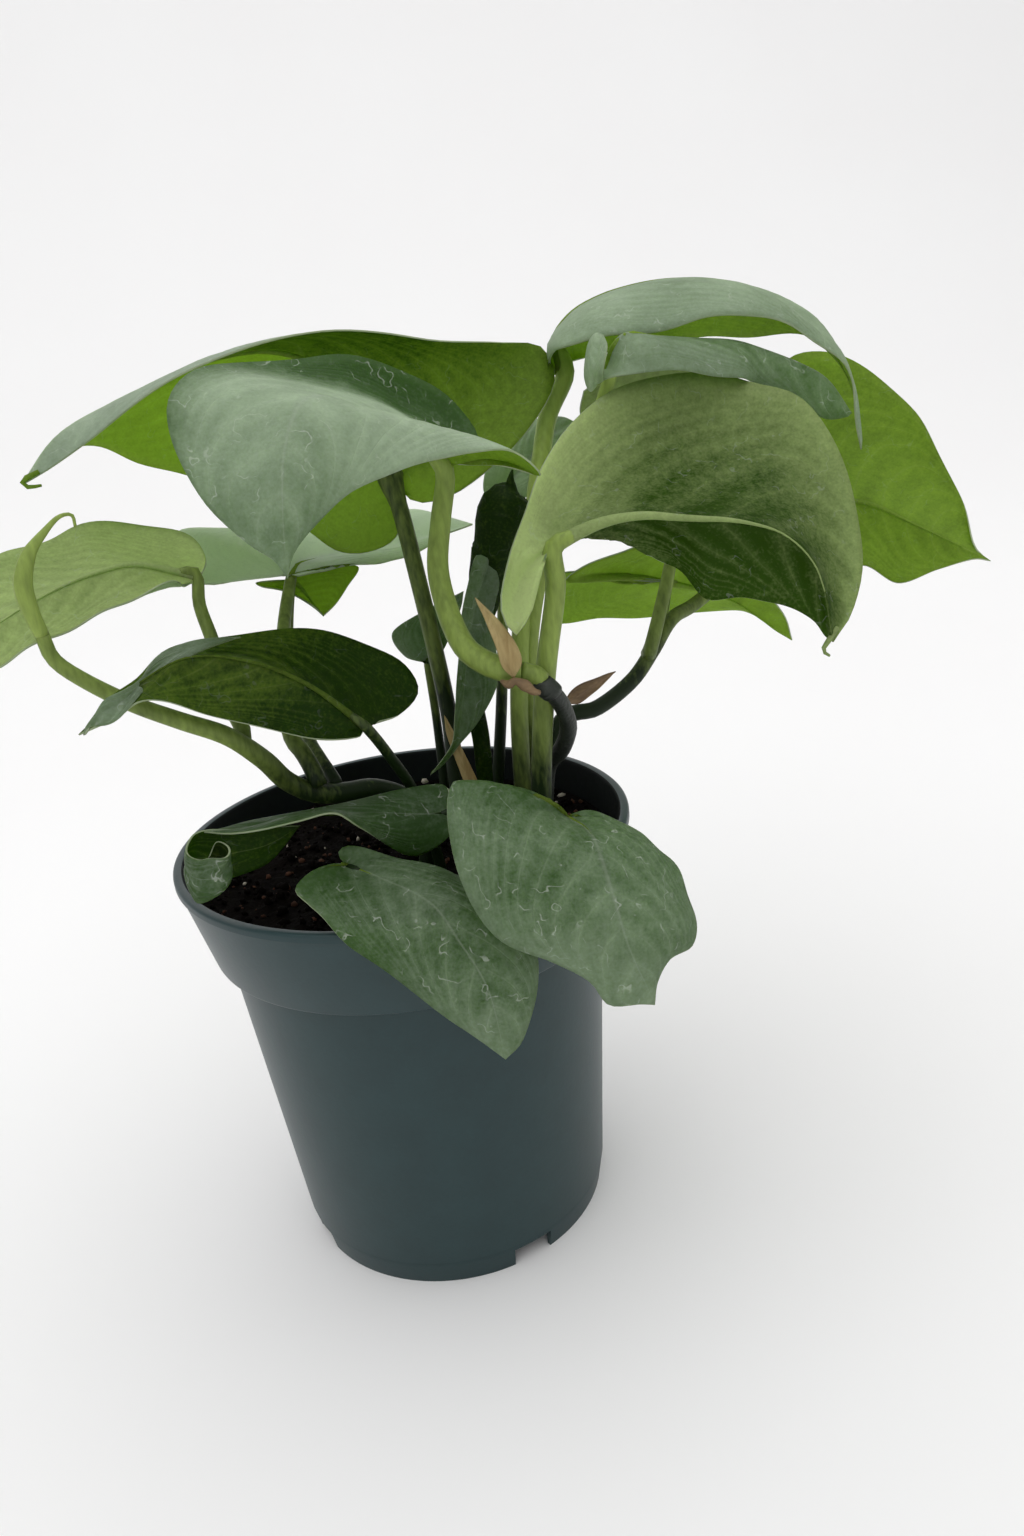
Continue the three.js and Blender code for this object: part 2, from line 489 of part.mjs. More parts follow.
function potGeometry() {
  const bandBottom = POT_HEIGHT - BAND_HEIGHT;
  const floorTop = FOOT_HEIGHT + WALL + 0.3;
  const lipInner = RIM_RADIUS - LIP_WIDTH;
  const profile = [
    [0, FOOT_HEIGHT], [FOOT_RADIUS - WALL, FOOT_HEIGHT], [FOOT_RADIUS - WALL, 0], [FOOT_RADIUS, 0],
    [SEAM_RADIUS, FOOT_HEIGHT], [WALL_TOP_RADIUS, bandBottom], [BAND_BOTTOM_RADIUS, bandBottom],
    [RIM_RADIUS - 0.8, POT_HEIGHT - LIP_HEIGHT], [RIM_RADIUS, POT_HEIGHT - LIP_HEIGHT + 0.6],
    [RIM_RADIUS, POT_HEIGHT - 0.8], [RIM_RADIUS - 0.9, POT_HEIGHT], [lipInner + 0.5, POT_HEIGHT],
    [lipInner, POT_HEIGHT - 0.8], [BAND_BOTTOM_RADIUS - WALL, bandBottom + WALL],
    [WALL_TOP_RADIUS - WALL, bandBottom + WALL], [SEAM_RADIUS - WALL, floorTop], [0, floorTop],
  ];
  const lathe = new THREE.LatheGeometry(profile.map(([r, z]) => new THREE.Vector2(r, z)), POT_SIDES);
  return lathe.rotateX(Math.PI / 2);
}

function potSolid() {
  let pot = toSolid(potGeometry());
  for (let notch = 0; notch < FOOT_NOTCHES; notch += 1) {
    const angle = THREE.MathUtils.degToRad(FIRST_NOTCH_DEGREES + (360 / FOOT_NOTCHES) * notch);
    const cut = new THREE.BoxGeometry(3 * LIP_WIDTH, FOOT_NOTCH_WIDTH, 2 * FOOT_NOTCH_HEIGHT);
    cut.translate(FOOT_RADIUS, 0, 0).rotateZ(angle);
    pot = pot.subtract(toSolid(cut));
    const hole = new THREE.CylinderGeometry(DRAIN_HOLE_RADIUS, DRAIN_HOLE_RADIUS, 4 * WALL, 12);
    hole.rotateX(Math.PI / 2).translate(DRAIN_HOLE_CENTRE, 0, FOOT_HEIGHT + WALL / 2).rotateZ(angle);
    pot = pot.subtract(toSolid(hole));
  }
  return pot;
}

// The soil follows the pot's inside, and its top is a little lumpy.
function soilGeometry() {
  const bandBottom = POT_HEIGHT - BAND_HEIGHT;
  const floorTop = FOOT_HEIGHT + WALL + 0.3 + SOIL_CLEARANCE;
  const inset = WALL + SOIL_CLEARANCE;
  const shelfTop = bandBottom + WALL + SOIL_CLEARANCE;
  const bandSlope = (RIM_RADIUS - LIP_WIDTH - (BAND_BOTTOM_RADIUS - WALL)) / (BAND_HEIGHT - WALL - 0.8);
  const topRadius = BAND_BOTTOM_RADIUS - inset + bandSlope * (SOIL_LEVEL - bandBottom - WALL);
  const profile = [
    [0, floorTop], [SEAM_RADIUS - inset, floorTop], [WALL_TOP_RADIUS - inset, shelfTop],
    [BAND_BOTTOM_RADIUS - inset, shelfTop], [topRadius - 0.2, SOIL_LEVEL],
    [topRadius * 0.8, SOIL_LEVEL], [topRadius * 0.58, SOIL_LEVEL], [topRadius * 0.3, SOIL_LEVEL],
    [0, SOIL_LEVEL + 0.6],
  ];
  const lathe = new THREE.LatheGeometry(profile.map(([r, z]) => new THREE.Vector2(r, z)), POT_SIDES);
  lathe.rotateX(Math.PI / 2);
  const position = lathe.attributes.position;
  for (let i = 0; i < position.count; i += 1) {
    const x = position.getX(i);
    const y = position.getY(i);
    const z = position.getZ(i);
    if (Math.abs(z - SOIL_LEVEL) < 0.1 && Math.hypot(x, y) < topRadius - 1) {
      const lump = Math.sin(0.31 * x + 1.3) * Math.cos(0.27 * y) + 0.5 * Math.sin(0.53 * (x - y));
      position.setZ(i, z + SOIL_LUMP * lump);
    }
  }
  return lathe;
}

// Where a stem stands in the soil it has a plain hole, a little wider than itself.
function soilSolid(stems) {
  let soil = toSolid(soilGeometry());
  for (const { path, radii } of stems) {
    const widest = Math.max(...radii.slice(0, 3)) / Math.cos(Math.PI / STALK_SIDES) + HOLE_CLEARANCE;
    const [x, y, z] = path[0];
    const direction = new THREE.Vector3(...path[0]).sub(curveThrough(path).getPointAt(0.25)).normalize();
    const below = new THREE.Vector3(x, y, z).addScaledVector(direction, 2 * HOLE_CLEARANCE);
    const cutter = stemGeometry([below.toArray(), ...path], [widest, widest]);
    soil = soil.subtract(toSolid(cutter));
  }
  return soil;
}

const solids = {};
solids.pot = [potSolid(), 'pot', 0.45];

const rooted = [LEFT_VINE, MAIN_STEM, UNFURLING_ROLL];
for (const [name, leaf] of Object.entries(LEAVES)) {
  solids[name] = [leafSolid(leaf), leaf.colour, 0.5];
  if (leaf.stalk[0][2] < SOIL_LEVEL) {
    rooted.push({ path: [...leaf.stalk, leaf.midrib[0]], radii: leaf.stalkRadius });
  }
}
solids.soil = [soilSolid(rooted), 'soil', 0.95];
solids.main_stem = [toSolid(stemGeometry(MAIN_STEM.path, MAIN_STEM.radii)), 'wood', 0.7];
solids.left_vine = [
  toSolid(stemGeometry(LEFT_VINE.path, LEFT_VINE.radii))
    .add(toSolid(stemGeometry(ROLLED_SHOOT.path, ROLLED_SHOOT.radii, STALK_SIDES, 5))),
  'vine', 0.55];
solids.leaf_unfurling = [
  toSolid(stemGeometry(UNFURLING_ROLL.path, UNFURLING_ROLL.radii, 10))
    .add(toSolid(bladeGeometry(UNFURLING_FLAP))),
  'darkLeaf', 0.5];
for (const [name, scale] of Object.entries(DRY_SCALES)) {
  solids[name] = [toSolid(bladeGeometry(scale)), scale.colour, 0.8];
}

const plant = new THREE.Group();
for (const [name, [solid, colour, roughness]] of Object.entries(solids)) {
  const material = new THREE.MeshStandardMaterial({ color: COLOURS[colour], roughness, metalness: 0 });
  const mesh = new THREE.Mesh(fromSolid(solid), material);
  mesh.name = name;
  plant.add(mesh);
}

// The origin is on the ground under the middle of the whole plant, so the pot's axis is off to one side.
const box = new THREE.Box3().setFromObject(plant);
const middle = box.getCenter(new THREE.Vector3());
plant.position.set(-middle.x, -middle.y, -box.min.z);

export default plant;
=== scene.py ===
import math
import random

import bmesh
import bpy
from mathutils import Matrix, Vector, noise


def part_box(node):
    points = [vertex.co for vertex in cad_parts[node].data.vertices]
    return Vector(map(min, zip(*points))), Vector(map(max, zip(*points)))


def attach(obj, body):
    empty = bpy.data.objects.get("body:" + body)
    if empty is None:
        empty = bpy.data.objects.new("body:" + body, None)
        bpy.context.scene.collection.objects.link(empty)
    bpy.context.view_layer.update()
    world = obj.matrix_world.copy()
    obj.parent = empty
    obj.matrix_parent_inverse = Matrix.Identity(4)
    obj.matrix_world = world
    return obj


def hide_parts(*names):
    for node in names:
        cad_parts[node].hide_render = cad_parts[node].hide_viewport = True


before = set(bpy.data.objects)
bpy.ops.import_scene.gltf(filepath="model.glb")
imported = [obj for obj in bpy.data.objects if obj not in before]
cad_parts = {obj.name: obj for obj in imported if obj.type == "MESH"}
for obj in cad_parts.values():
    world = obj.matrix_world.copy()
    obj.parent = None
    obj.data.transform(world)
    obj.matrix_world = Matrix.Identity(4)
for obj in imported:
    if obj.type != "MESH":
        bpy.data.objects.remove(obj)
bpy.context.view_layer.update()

scene = bpy.context.scene
MM = 0.001

# The plant's points below are millimetres from the pot's axis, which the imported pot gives.
pot_low, pot_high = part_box("pot")
AXIS = Vector(((pot_low.x + pot_high.x) / 2, (pot_low.y + pot_high.y) / 2, 0))

# Pot, as in the CAD model
RIM_RADIUS = 78
POT_HEIGHT = 149
WALL = 1.5
LIP_WIDTH = 3.3
LIP_HEIGHT = 3
BAND_HEIGHT = 31.6
BAND_BOTTOM_RADIUS = 70.5
WALL_TOP_RADIUS = 66.1
SEAM_RADIUS = 57
FOOT_HEIGHT = 9.4
FOOT_RADIUS = 55.2
FOOT_NOTCHES = 4
FOOT_NOTCH_WIDTH = 15
FOOT_NOTCH_HEIGHT = 7.5
FIRST_NOTCH_DEGREES = 22
SOIL_LEVEL = 137
SOIL_CLEARANCE = 0.4
# The raised bottom is a little thicker than the wall.
BOTTOM_THICKNESS = WALL + 0.3
# Loose grains lie within this radius.
CRUMB_REACH = 70

BLADE_THICKNESS = 0.55

# Pairs of side veins on a blade, and how far towards the tip a vein has run where it meets the margin:
# VEIN_LEAN of the way evenly, and VEIN_BEND more in a bend that its power keeps close to the margin
VEINS = 9
VEIN_LEAN = 0.28
VEIN_BEND = 0.42
VEIN_BEND_POWER = 2.5

# Where a Mix node that mixes colours takes its share and its two colours, and where it gives the result
SHARE, FIRST, SECOND, MIXED = 0, 6, 7, 2


# Materials

def linear(code):
    """An sRGB hex colour as the linear colour a shader socket takes."""
    channels = [int(code[i:i + 2], 16) / 255 for i in (1, 3, 5)]
    return tuple(c / 12.92 if c <= 0.04045 else ((c + 0.055) / 1.055) ** 2.4 for c in channels) + (1.0,)


def add(tree, kind, *inputs, sockets=None, out=0, **settings):
    """Adds a node with its settings, gives its inputs their values or links, and returns one output."""
    node = tree.nodes.new("ShaderNode" + kind)
    for key, value in settings.items():
        setattr(node, key, value)
    for key, value in [*enumerate(inputs), *(sockets or {}).items()]:
        if isinstance(value, bpy.types.NodeSocket):
            tree.links.new(value, node.inputs[key])
        else:
            node.inputs[key].default_value = value
    return node.outputs[out] if len(node.outputs) else None


def new_material(name):
    material = bpy.data.materials.new(name)
    material.use_nodes = True
    material.node_tree.nodes.clear()
    return material, material.node_tree


def lumps(tree, size, detail=3.0, stretch=(1, 1, 1)):
    """Even noise from 0 to 1 whose lumps are about size millimetres, fixed to the piece."""
    scale = [s / (size * MM) for s in stretch]
    place = add(tree, "Mapping", add(tree, "TexCoord", out="Object"), sockets={"Scale": scale})
    return add(tree, "TexNoise", sockets={"Vector": place, "Scale": 1.0, "Detail": detail})


def leaf_skin(name, dark, light, vein, glow, roughness, gloss, see_through, vein_strength, vein_height,
              mottle, scuffs):
    """A waxy leaf skin. Veins leave the midrib, bend towards the tip and swell or dent the surface,
    and some of the light comes through the blade."""
    material, tree = new_material(name)
    place = add(tree, "UVMap", uv_map="leaf")
    u = add(tree, "SeparateXYZ", place, out="X")
    v = add(tree, "SeparateXYZ", place, out="Y")
    # tint is each face's own tone together with the painted light and shade set on the piece.
    tint = add(tree, "Attribute", attribute_name="tint", out="Fac")
    # 0 on the midrib and 1 on the margin
    w = add(tree, "Math", add(tree, "Math", u, 2.0, -1.0, operation="MULTIPLY_ADD"), operation="ABSOLUTE")
    reach = add(tree, "Math", add(tree, "Math", w, VEIN_BEND_POWER, operation="POWER"), VEIN_BEND,
                add(tree, "Math", w, VEIN_LEAN, operation="MULTIPLY"), operation="MULTIPLY_ADD")
    order = add(tree, "Math", add(tree, "Math", v, reach, operation="SUBTRACT"),
                add(tree, "Math", 1.0, reach, operation="SUBTRACT"), operation="DIVIDE")
    order = add(tree, "Math", lumps(tree, 30, detail=2.0), 0.06, order, operation="MULTIPLY_ADD")
    # Close to the joint and to the margin the veins run together and can't be told apart.
    past_joint = add(tree, "MapRange", v, 0.15, 0.5, 0.1, 1.0, interpolation_type="SMOOTHSTEP")
    off_margin = add(tree, "MapRange", w, 0.7, 1.0, 1.0, 0.15, interpolation_type="SMOOTHSTEP")
    apart = add(tree, "Math", past_joint, off_margin, operation="MULTIPLY")
    vein_line = []
    for count, width in ((VEINS, 0.07), (3 * VEINS, 0.12)):
        fold = add(tree, "Math", add(tree, "Math", order, float(count), operation="MULTIPLY"), 0.5,
                   operation="PINGPONG")
        vein_line.append(add(tree, "MapRange", fold, 0.0, width, apart, 0.0,
                             interpolation_type="SMOOTHSTEP"))
    bands = add(tree, "Math", add(tree, "Math", order, 2 * math.pi * VEINS, operation="MULTIPLY"),
                operation="COSINE")
    bands = add(tree, "Math", bands, apart, operation="MULTIPLY")
    rib = add(tree, "MapRange", w, 0.0, 0.03, 1.0, 0.0, interpolation_type="SMOOTHSTEP")
    cells = lumps(tree, 2.5)
    specks = lumps(tree, 0.8, detail=2.0)
    body = tint
    for part, amount, middle in ((lumps(tree, 22, detail=4.0), mottle, -0.5 * mottle), (cells, 0.3, -0.15),
                                 (specks, 0.3, -0.15), (bands, 0.12 * vein_strength, 0.0)):
        body = add(tree, "Math", body, add(tree, "Math", part, amount, middle, operation="MULTIPLY_ADD"),
                   operation="ADD", use_clamp=True)
    colour = add(tree, "Mix", sockets={SHARE: body, FIRST: linear(dark), SECOND: linear(light)},
                 out=MIXED, data_type="RGBA")
    broad = add(tree, "Math", vein_line[0], 0.2 * vein_strength, operation="MULTIPLY")
    fine = add(tree, "Math", vein_line[1], 0.05 * vein_strength, operation="MULTIPLY")
    lines = add(tree, "Math", broad, fine, operation="ADD")
    midline = add(tree, "Math", rib, 0.6 * vein_strength, operation="MULTIPLY")
    lines = add(tree, "Math", lines, midline, operation="MAXIMUM")
    colour = add(tree, "Mix", sockets={SHARE: lines, FIRST: colour, SECOND: linear(vein)},
                 out=MIXED, data_type="RGBA")
    # Rubbed marks: short pale curls where the wax is scuffed
    curl = add(tree, "Math", lumps(tree, 8, detail=2.0), 0.5, 0.008, operation="COMPARE")
    patch = add(tree, "MapRange", lumps(tree, 6, detail=2.0), 0.5, 0.6, 0.0, scuffs,
                interpolation_type="SMOOTHSTEP")
    rubbed = add(tree, "Math", curl, patch, operation="MULTIPLY")
    colour = add(tree, "Mix", sockets={SHARE: rubbed, FIRST: colour, SECOND: linear("#dfe6da")},
                 out=MIXED, data_type="RGBA")
    height = add(tree, "Math", bands, vein_height, operation="MULTIPLY")
    for part, amount in ((vein_line[0], 1.2 * vein_height), (cells, 0.6), (specks, 0.3)):
        height = add(tree, "Math", part, amount, height, operation="MULTIPLY_ADD")
    normal = add(tree, "Bump", sockets={"Height": height, "Strength": 0.6, "Distance": 0.3 * MM})
    skin = add(tree, "BsdfPrincipled", sockets={"Base Color": colour, "Normal": normal, "IOR": 1.38,
                                                "Roughness": roughness, "Specular IOR Level": gloss})
    inner = add(tree, "Mix", sockets={SHARE: body, FIRST: linear(glow[0]), SECOND: linear(glow[1])},
                out=MIXED, data_type="RGBA")
    faint = add(tree, "Math", lines, 0.6, operation="MULTIPLY")
    inner = add(tree, "Mix", sockets={SHARE: faint, FIRST: inner, SECOND: linear(vein)},
                out=MIXED, data_type="RGBA")
    through = add(tree, "BsdfTranslucent", inner, normal)
    add(tree, "OutputMaterial", add(tree, "MixShader", see_through, skin, through))
    return material


def matter(name, dark, light, roughness, lump, bump, see_through=0.0, specular=0.5, stretch=(1, 1, 1),
           grown=False):
    """A plain natural or moulded surface: lump is the size of its grain and bump its height, in mm.
    A grown one takes its tint from the piece, which holds painted light and shade, and is painted darker
    the lower it stands, as painted shade inside the pot."""
    material, tree = new_material(name)
    small = lumps(tree, lump, stretch=stretch)
    body = add(tree, "Math", lumps(tree, 7 * lump, stretch=stretch), 1.2, -0.4, operation="MULTIPLY_ADD")
    if grown:
        # Painted shade: the lower the stalk stands, the darker, most below 155 mm, where the pot and the
        # leaves shade it.
        high = add(tree, "SeparateXYZ", add(tree, "TexCoord", out="Object"), out="Z")
        shade = add(tree, "MapRange", high, 0.155, 0.205, -1.2, -0.5, interpolation_type="SMOOTHSTEP")
        shade = add(tree, "Math", add(tree, "Attribute", attribute_name="tint", out="Fac"), shade,
                    operation="ADD")
        body = add(tree, "Math", add(tree, "Math", body, 0.4, operation="MULTIPLY"), shade,
                   operation="ADD")
    body = add(tree, "Math", small, 0.6, body, operation="MULTIPLY_ADD", use_clamp=True)
    colour = add(tree, "Mix", sockets={SHARE: body, FIRST: linear(dark), SECOND: linear(light)},
                 out=MIXED, data_type="RGBA")
    normal = add(tree, "Bump", sockets={"Height": small, "Strength": 0.6, "Distance": bump * MM})
    surface = add(tree, "BsdfPrincipled", sockets={"Base Color": colour, "Normal": normal,
                                                   "Roughness": roughness,
                                                   "Specular IOR Level": specular})
    if see_through:
        through = add(tree, "BsdfTranslucent", colour, normal)
        surface = add(tree, "MixShader", see_through, surface, through)
    add(tree, "OutputMaterial", surface)
    return material


# Wax and air under the upper skin give the silvery bloom; from below the green flesh shows and glows.
silver_skin = leaf_skin("waxy leaf, silvery upper face", "#355426", "#c8dac2", "#ccd8c2",
                        ("#b0cc6c", "#eaf6bc"), 0.48, 0.55, 0.42, vein_strength=0.35, vein_height=-0.3,
                        mottle=0.6, scuffs=0.45)
green_skin = leaf_skin("waxy leaf, green under face", "#1e3208", "#aeca54", "#b4c67c",
                       ("#3c6408", "#a8da20"), 0.55, 0.25, 0.55, vein_strength=0.35, vein_height=0.2,
                       mottle=0.25, scuffs=0.1)
# A thicker wax hides more of the green and lets less light through.
pale_skin = leaf_skin("waxy leaf, grey green under face", "#304c02", "#dceca6", "#b4c67c",
                      ("#3c6408", "#b4dc50"), 0.55, 0.25, 0.5, vein_strength=0.35, vein_height=0.2,
                      mottle=0.2, scuffs=0.2)
margin_skin = matter("leaf margin, pale and dry", "#8fa27c", "#bcc7a2", 0.5, 2, 0.05, see_through=0.3)
# Stalks are painted darker low down, as painted shade inside the pot, and each takes a lightness that holds
# painted light and shade.
stalk_skin = matter("leaf stalk, smooth green skin", "#16280a", "#a4bc5c", 0.5, 1.5, 0.1, see_through=0.1,
                    specular=0.3, stretch=(1, 1, 0.25), grown=True)
cork = matter("old stem, dark and corky", "#070a07", "#2c342a", 0.55, 1.2, 0.5)
straw = matter("dry scale, papery straw", "#92743c", "#e0cd96", 0.7, 1, 0.3, see_through=0.25,
               stretch=(1, 1, 0.15))
brown_paper = matter("dry scale, papery brown", "#4a3424", "#a58a63", 0.7, 1, 0.3, see_through=0.15,
                     stretch=(0.3, 1, 1))
# The peat is painted darker than moist peat alone, as painted shade under the leaves and inside the pot.
peat = matter("peat, moist and crumbly, darkened as painted shade", "#020201", "#0d0806", 0.95, 2, 1.5, specular=0.05)
grit = matter("perlite, chalky and stained", "#6f675a", "#c9c2b4", 0.85, 0.8, 0.3)
bark = matter("bark crumb, red brown", "#1a0e08", "#5a3b2c", 0.9, 1, 0.4, specular=0.2)
# Polypropylene straight from the mould: even colour, a soft sheen and a faint orange peel.
pot_skin = matter("polypropylene, injection moulded, satin", "#1e3335", "#243c3e", 0.38, 1.8, 0.05,
                  specular=0.35)
# The inner wall is painted darker than the outside, as painted shade from the leaves and the soil, and
# hardly shines.
inner_wall_shade_skin = matter("polypropylene, inner wall in painted shade", "#030605", "#0a1413", 0.7, 3, 0.2,
                      specular=0.15)


# Curves

def curve_through(points, fineness=24):
    """Points along the smooth curve through the given ones, and how far along it each lies."""
    points = [Vector(p) for p in points]
    points = [2 * points[0] - points[1]] + points + [2 * points[-1] - points[-2]]
    line = []
    for i in range(1, len(points) - 2):
        before, a, b, after = points[i - 1:i + 3]
        leave, arrive = (b - before) / 2, (after - a) / 2
        for step in range(fineness):
            t = step / fineness
            line.append((2 * a - 2 * b + leave + arrive) * t ** 3
                        + (3 * b - 3 * a - 2 * leave - arrive) * t ** 2 + leave * t + a)
    line.append(points[-2])
    lengths = [0.0]
    for a, b in zip(line, line[1:]):
        lengths.append(lengths[-1] + (b - a).length)
    return line, lengths


def at(curve, share):
    """The point at a share of a curve's length."""
    line, lengths = curve
    distance = min(max(share, 0.0), 1.0) * lengths[-1]
    low, high = 0, len(lengths) - 1
    while high - low > 1:
        middle = (low + high) // 2
        low, high = (middle, high) if lengths[middle] <= distance else (low, middle)
    step = lengths[high] - lengths[low]
    return line[low].lerp(line[high], (distance - lengths[low]) / step if step else 0)


def along(values, share):
    """A value that runs evenly through a list."""
    station = min(max(share, 0.0), 1.0) * (len(values) - 1)
    before = min(int(station), len(values) - 2)
    return values[before] + (values[before + 1] - values[before]) * (station - before)


# Meshes

def place_piece(name, bm, materials, nodes):
    """Makes the bmesh, which is in the plant's millimetres, a piece of the object."""
    bmesh.ops.transform(bm, matrix=Matrix.Translation(AXIS) @ Matrix.Scale(MM, 4), verts=bm.verts)
    mesh = bpy.data.meshes.new(name)
    bm.to_mesh(mesh)
    bm.free()
    for material in materials:
        mesh.materials.append(material)
    mesh.shade_smooth()
    piece = bpy.data.objects.new(name, mesh)
    scene.collection.objects.link(piece)
    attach(piece, "root")
    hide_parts(*nodes)
    return piece


def sweep(bm, path, radii, sides=14, step=2.5, material=0, tint=0.5, swell=None):
    """A round stem: a grid wrapped round a smooth centre line and closed at both ends. tint is how light
    it is, and swell(share, angle) makes it thicker or thinner in places."""
    shade = bm.verts.layers.float.get("tint") or bm.verts.layers.float.new("tint")
    curve = curve_through(path)
    rows = max(6, round(curve[1][-1] / step))
    centres = [at(curve, i / rows) for i in range(rows + 1)]
    ahead = [(centres[min(i + 1, rows)] - centres[max(i - 1, 0)]).normalized() for i in range(rows + 1)]
    side = ahead[0].orthogonal().normalized()
    frames = []
    for direction in ahead:
        side = (side - direction * side.dot(direction)).normalized()
        frames.append((side, direction.cross(side)))
    grid = bmesh.ops.create_grid(bm, x_segments=sides, y_segments=rows, size=0.5)["verts"]
    faces = {face for vertex in grid for face in vertex.link_faces}
    for vertex in grid:
        share = vertex.co.y + 0.5
        row = round(share * rows)
        angle = 2 * math.pi * (vertex.co.x + 0.5)
        radius = along(radii, share) * (swell(share, angle) if swell else 1)
        a, b = frames[row]
        vertex.co = centres[row] + radius * (math.cos(angle) * a + math.sin(angle) * b)
    bmesh.ops.remove_doubles(bm, verts=grid, dist=1e-4)
    ends = [edge for edge in {e for f in faces for e in f.edges} if edge.is_boundary]
    faces |= set(bmesh.ops.holes_fill(bm, edges=ends)["faces"])
    bmesh.ops.recalc_face_normals(bm, faces=list(faces))
    for face in faces:
        face.material_index = material
        for vertex in face.verts:
            vertex[shade] = tint


def vein_order(u, share):
    """Which vein a place on a half blade belongs to, as in the leaf's material."""
    reach = VEIN_LEAN * u + VEIN_BEND * u ** VEIN_BEND_POWER
    return (share - reach) / (1 - reach)


def blade_curves(leaf):
    """A leaf's midrib, and its left (1) and right (-1) margin from the joint to the tip."""
    joint, tip = leaf["midrib"][0], leaf["midrib"][-1]
    return curve_through(leaf["midrib"]), {1: curve_through([joint, *leaf["left"], tip]),
                                           -1: curve_through([joint, *leaf["right"], tip])}


def frame_of(leaf, rib, edge, side, share):
    """Where a row of a half blade starts on the midrib, how it runs to the margin, and which way is up.
    share is 0 at the joint and 1 at the tip."""
    inner = max(0.0, (share - leaf["lobe"]) / (1 - leaf["lobe"]))
    base = at(rib, inner)
    across = at(edge, share) - base
    forward = (at(rib, inner + 0.01) - at(rib, inner - 0.01)).normalized()
    forward += (at(edge, share + 0.01) - at(edge, share - 0.01)).normalized()
    return base, across, (forward.cross(across) * side).normalized()


def blade_point(leaf, rib, edge, side, u, share):
    """A point of a half blade: u is 0 on the midrib and 1 on the margin."""
    base, across, up = frame_of(leaf, rib, edge, side, share)
    width = across.length
    height, waves = leaf["wave"]
    half = 0 if side > 0 else 1
    lift = leaf["arch"][half] * width * 4 * (1 - u) * u * u / (u + 0.03)
    over = min(1.0, max(0.0, (share - 0.15) / 0.4))
    cup = (1 - over) * math.sin(2 * math.pi * u) + 0.8 * over * math.sin(math.pi * u)
    lift += leaf.get("cup", (0, 0))[half] * width * cup * math.sin(math.pi * share)
    lift += height * math.sin(2 * math.pi * waves * share) * math.sin(math.pi * share) * u * u
    lift += leaf["quilt"] * math.cos(2 * math.pi * VEINS * vein_order(u, share)) * math.sin(math.pi * u) \
        * min(1.0, width / 25, 3 * share)
    return base + across * u + up * lift


def blade(bm, leaf, columns=14, rows=60, materials=(0, 1, 2), tints=(0.5, 0.5)):
    """A leaf blade: one grid from margin to margin, shaped over the midrib, with its thickness below.
    tints is how light the upper and the under face are: the leaf's own tone with painted light and shade.
    painted_light_fade paints light and shade on the upper face towards the tip, and on the left and right
    under half at the joint, at the tip and at the margin.
    shade paints shade into the hollow behind the joint."""
    uv = bm.loops.layers.uv.get("leaf") or bm.loops.layers.uv.new("leaf")
    tint = bm.verts.layers.float.get("tint") or bm.verts.layers.float.new("tint")
    rib, edges = blade_curves(leaf)
    grid = bmesh.ops.create_grid(bm, x_segments=2 * columns, y_segments=rows, size=0.5)["verts"]
    faces = list({face for vertex in grid for face in vertex.link_faces})
    for face in faces:
        for loop in face.loops:
            loop[uv].uv = (loop.vert.co.x + 0.5, loop.vert.co.y + 0.5)
    for vertex in grid:
        side = -1 if vertex.co.x > 0 else 1
        vertex.co = blade_point(leaf, rib, edges[side], side, abs(2 * vertex.co.x), vertex.co.y + 0.5)
    bmesh.ops.remove_doubles(bm, verts=grid, dist=0.02)
    faces = [face for face in faces if face.is_valid]
    bm.normal_update()
    lower = {vertex: vertex.co - vertex.normal * BLADE_THICKNESS for face in faces for vertex in face.verts}
    grown = bmesh.ops.extrude_face_region(bm, geom=faces)["geom"]
    for vertex, place in lower.items():
        vertex.co = place
    above = [item for item in grown if isinstance(item, bmesh.types.BMFace)]
    below = [face for face in faces if face.is_valid]
    rim = {face for vertex in lower for face in vertex.link_faces} - set(above) - set(below)
    bmesh.ops.recalc_face_normals(bm, faces=[*above, *below, *rim])
    # Painted light and shade: the upper face lighter or darker towards the tip, the under halves lighter or
    # darker by how they lie in the light, and the hollow behind the joint darker.
    shade = leaf.get("shade", (0, 0))
    painted_light_fades = leaf.get("painted_light_fade", (0, (0, 0, 0), (0, 0, 0)))
    for group, index, value in ((rim, 2, tints[0]), (below, 1, tints[1]), (above, 0, tints[0])):
        for face in group:
            face.material_index = materials[index]
            for loop in face.loops:
                u, share = 2 * loop[uv].uv.x - 1, loop[uv].uv.y
                if group is below:
                    near, far, edge = painted_light_fades[1 if u < 0 else 2]
                    change = near + (far - near) * min(1.0, 2 * share) + edge * u * u
                else:
                    hollow = min(1.0, max(0.0, 2.5 * (abs(u) - 1.25 * share + 0.1))) * (1 - 0.9 * share)
                    change = painted_light_fades[0] * share - shade[u > 0] * hollow
                loop.vert[tint] = value + change


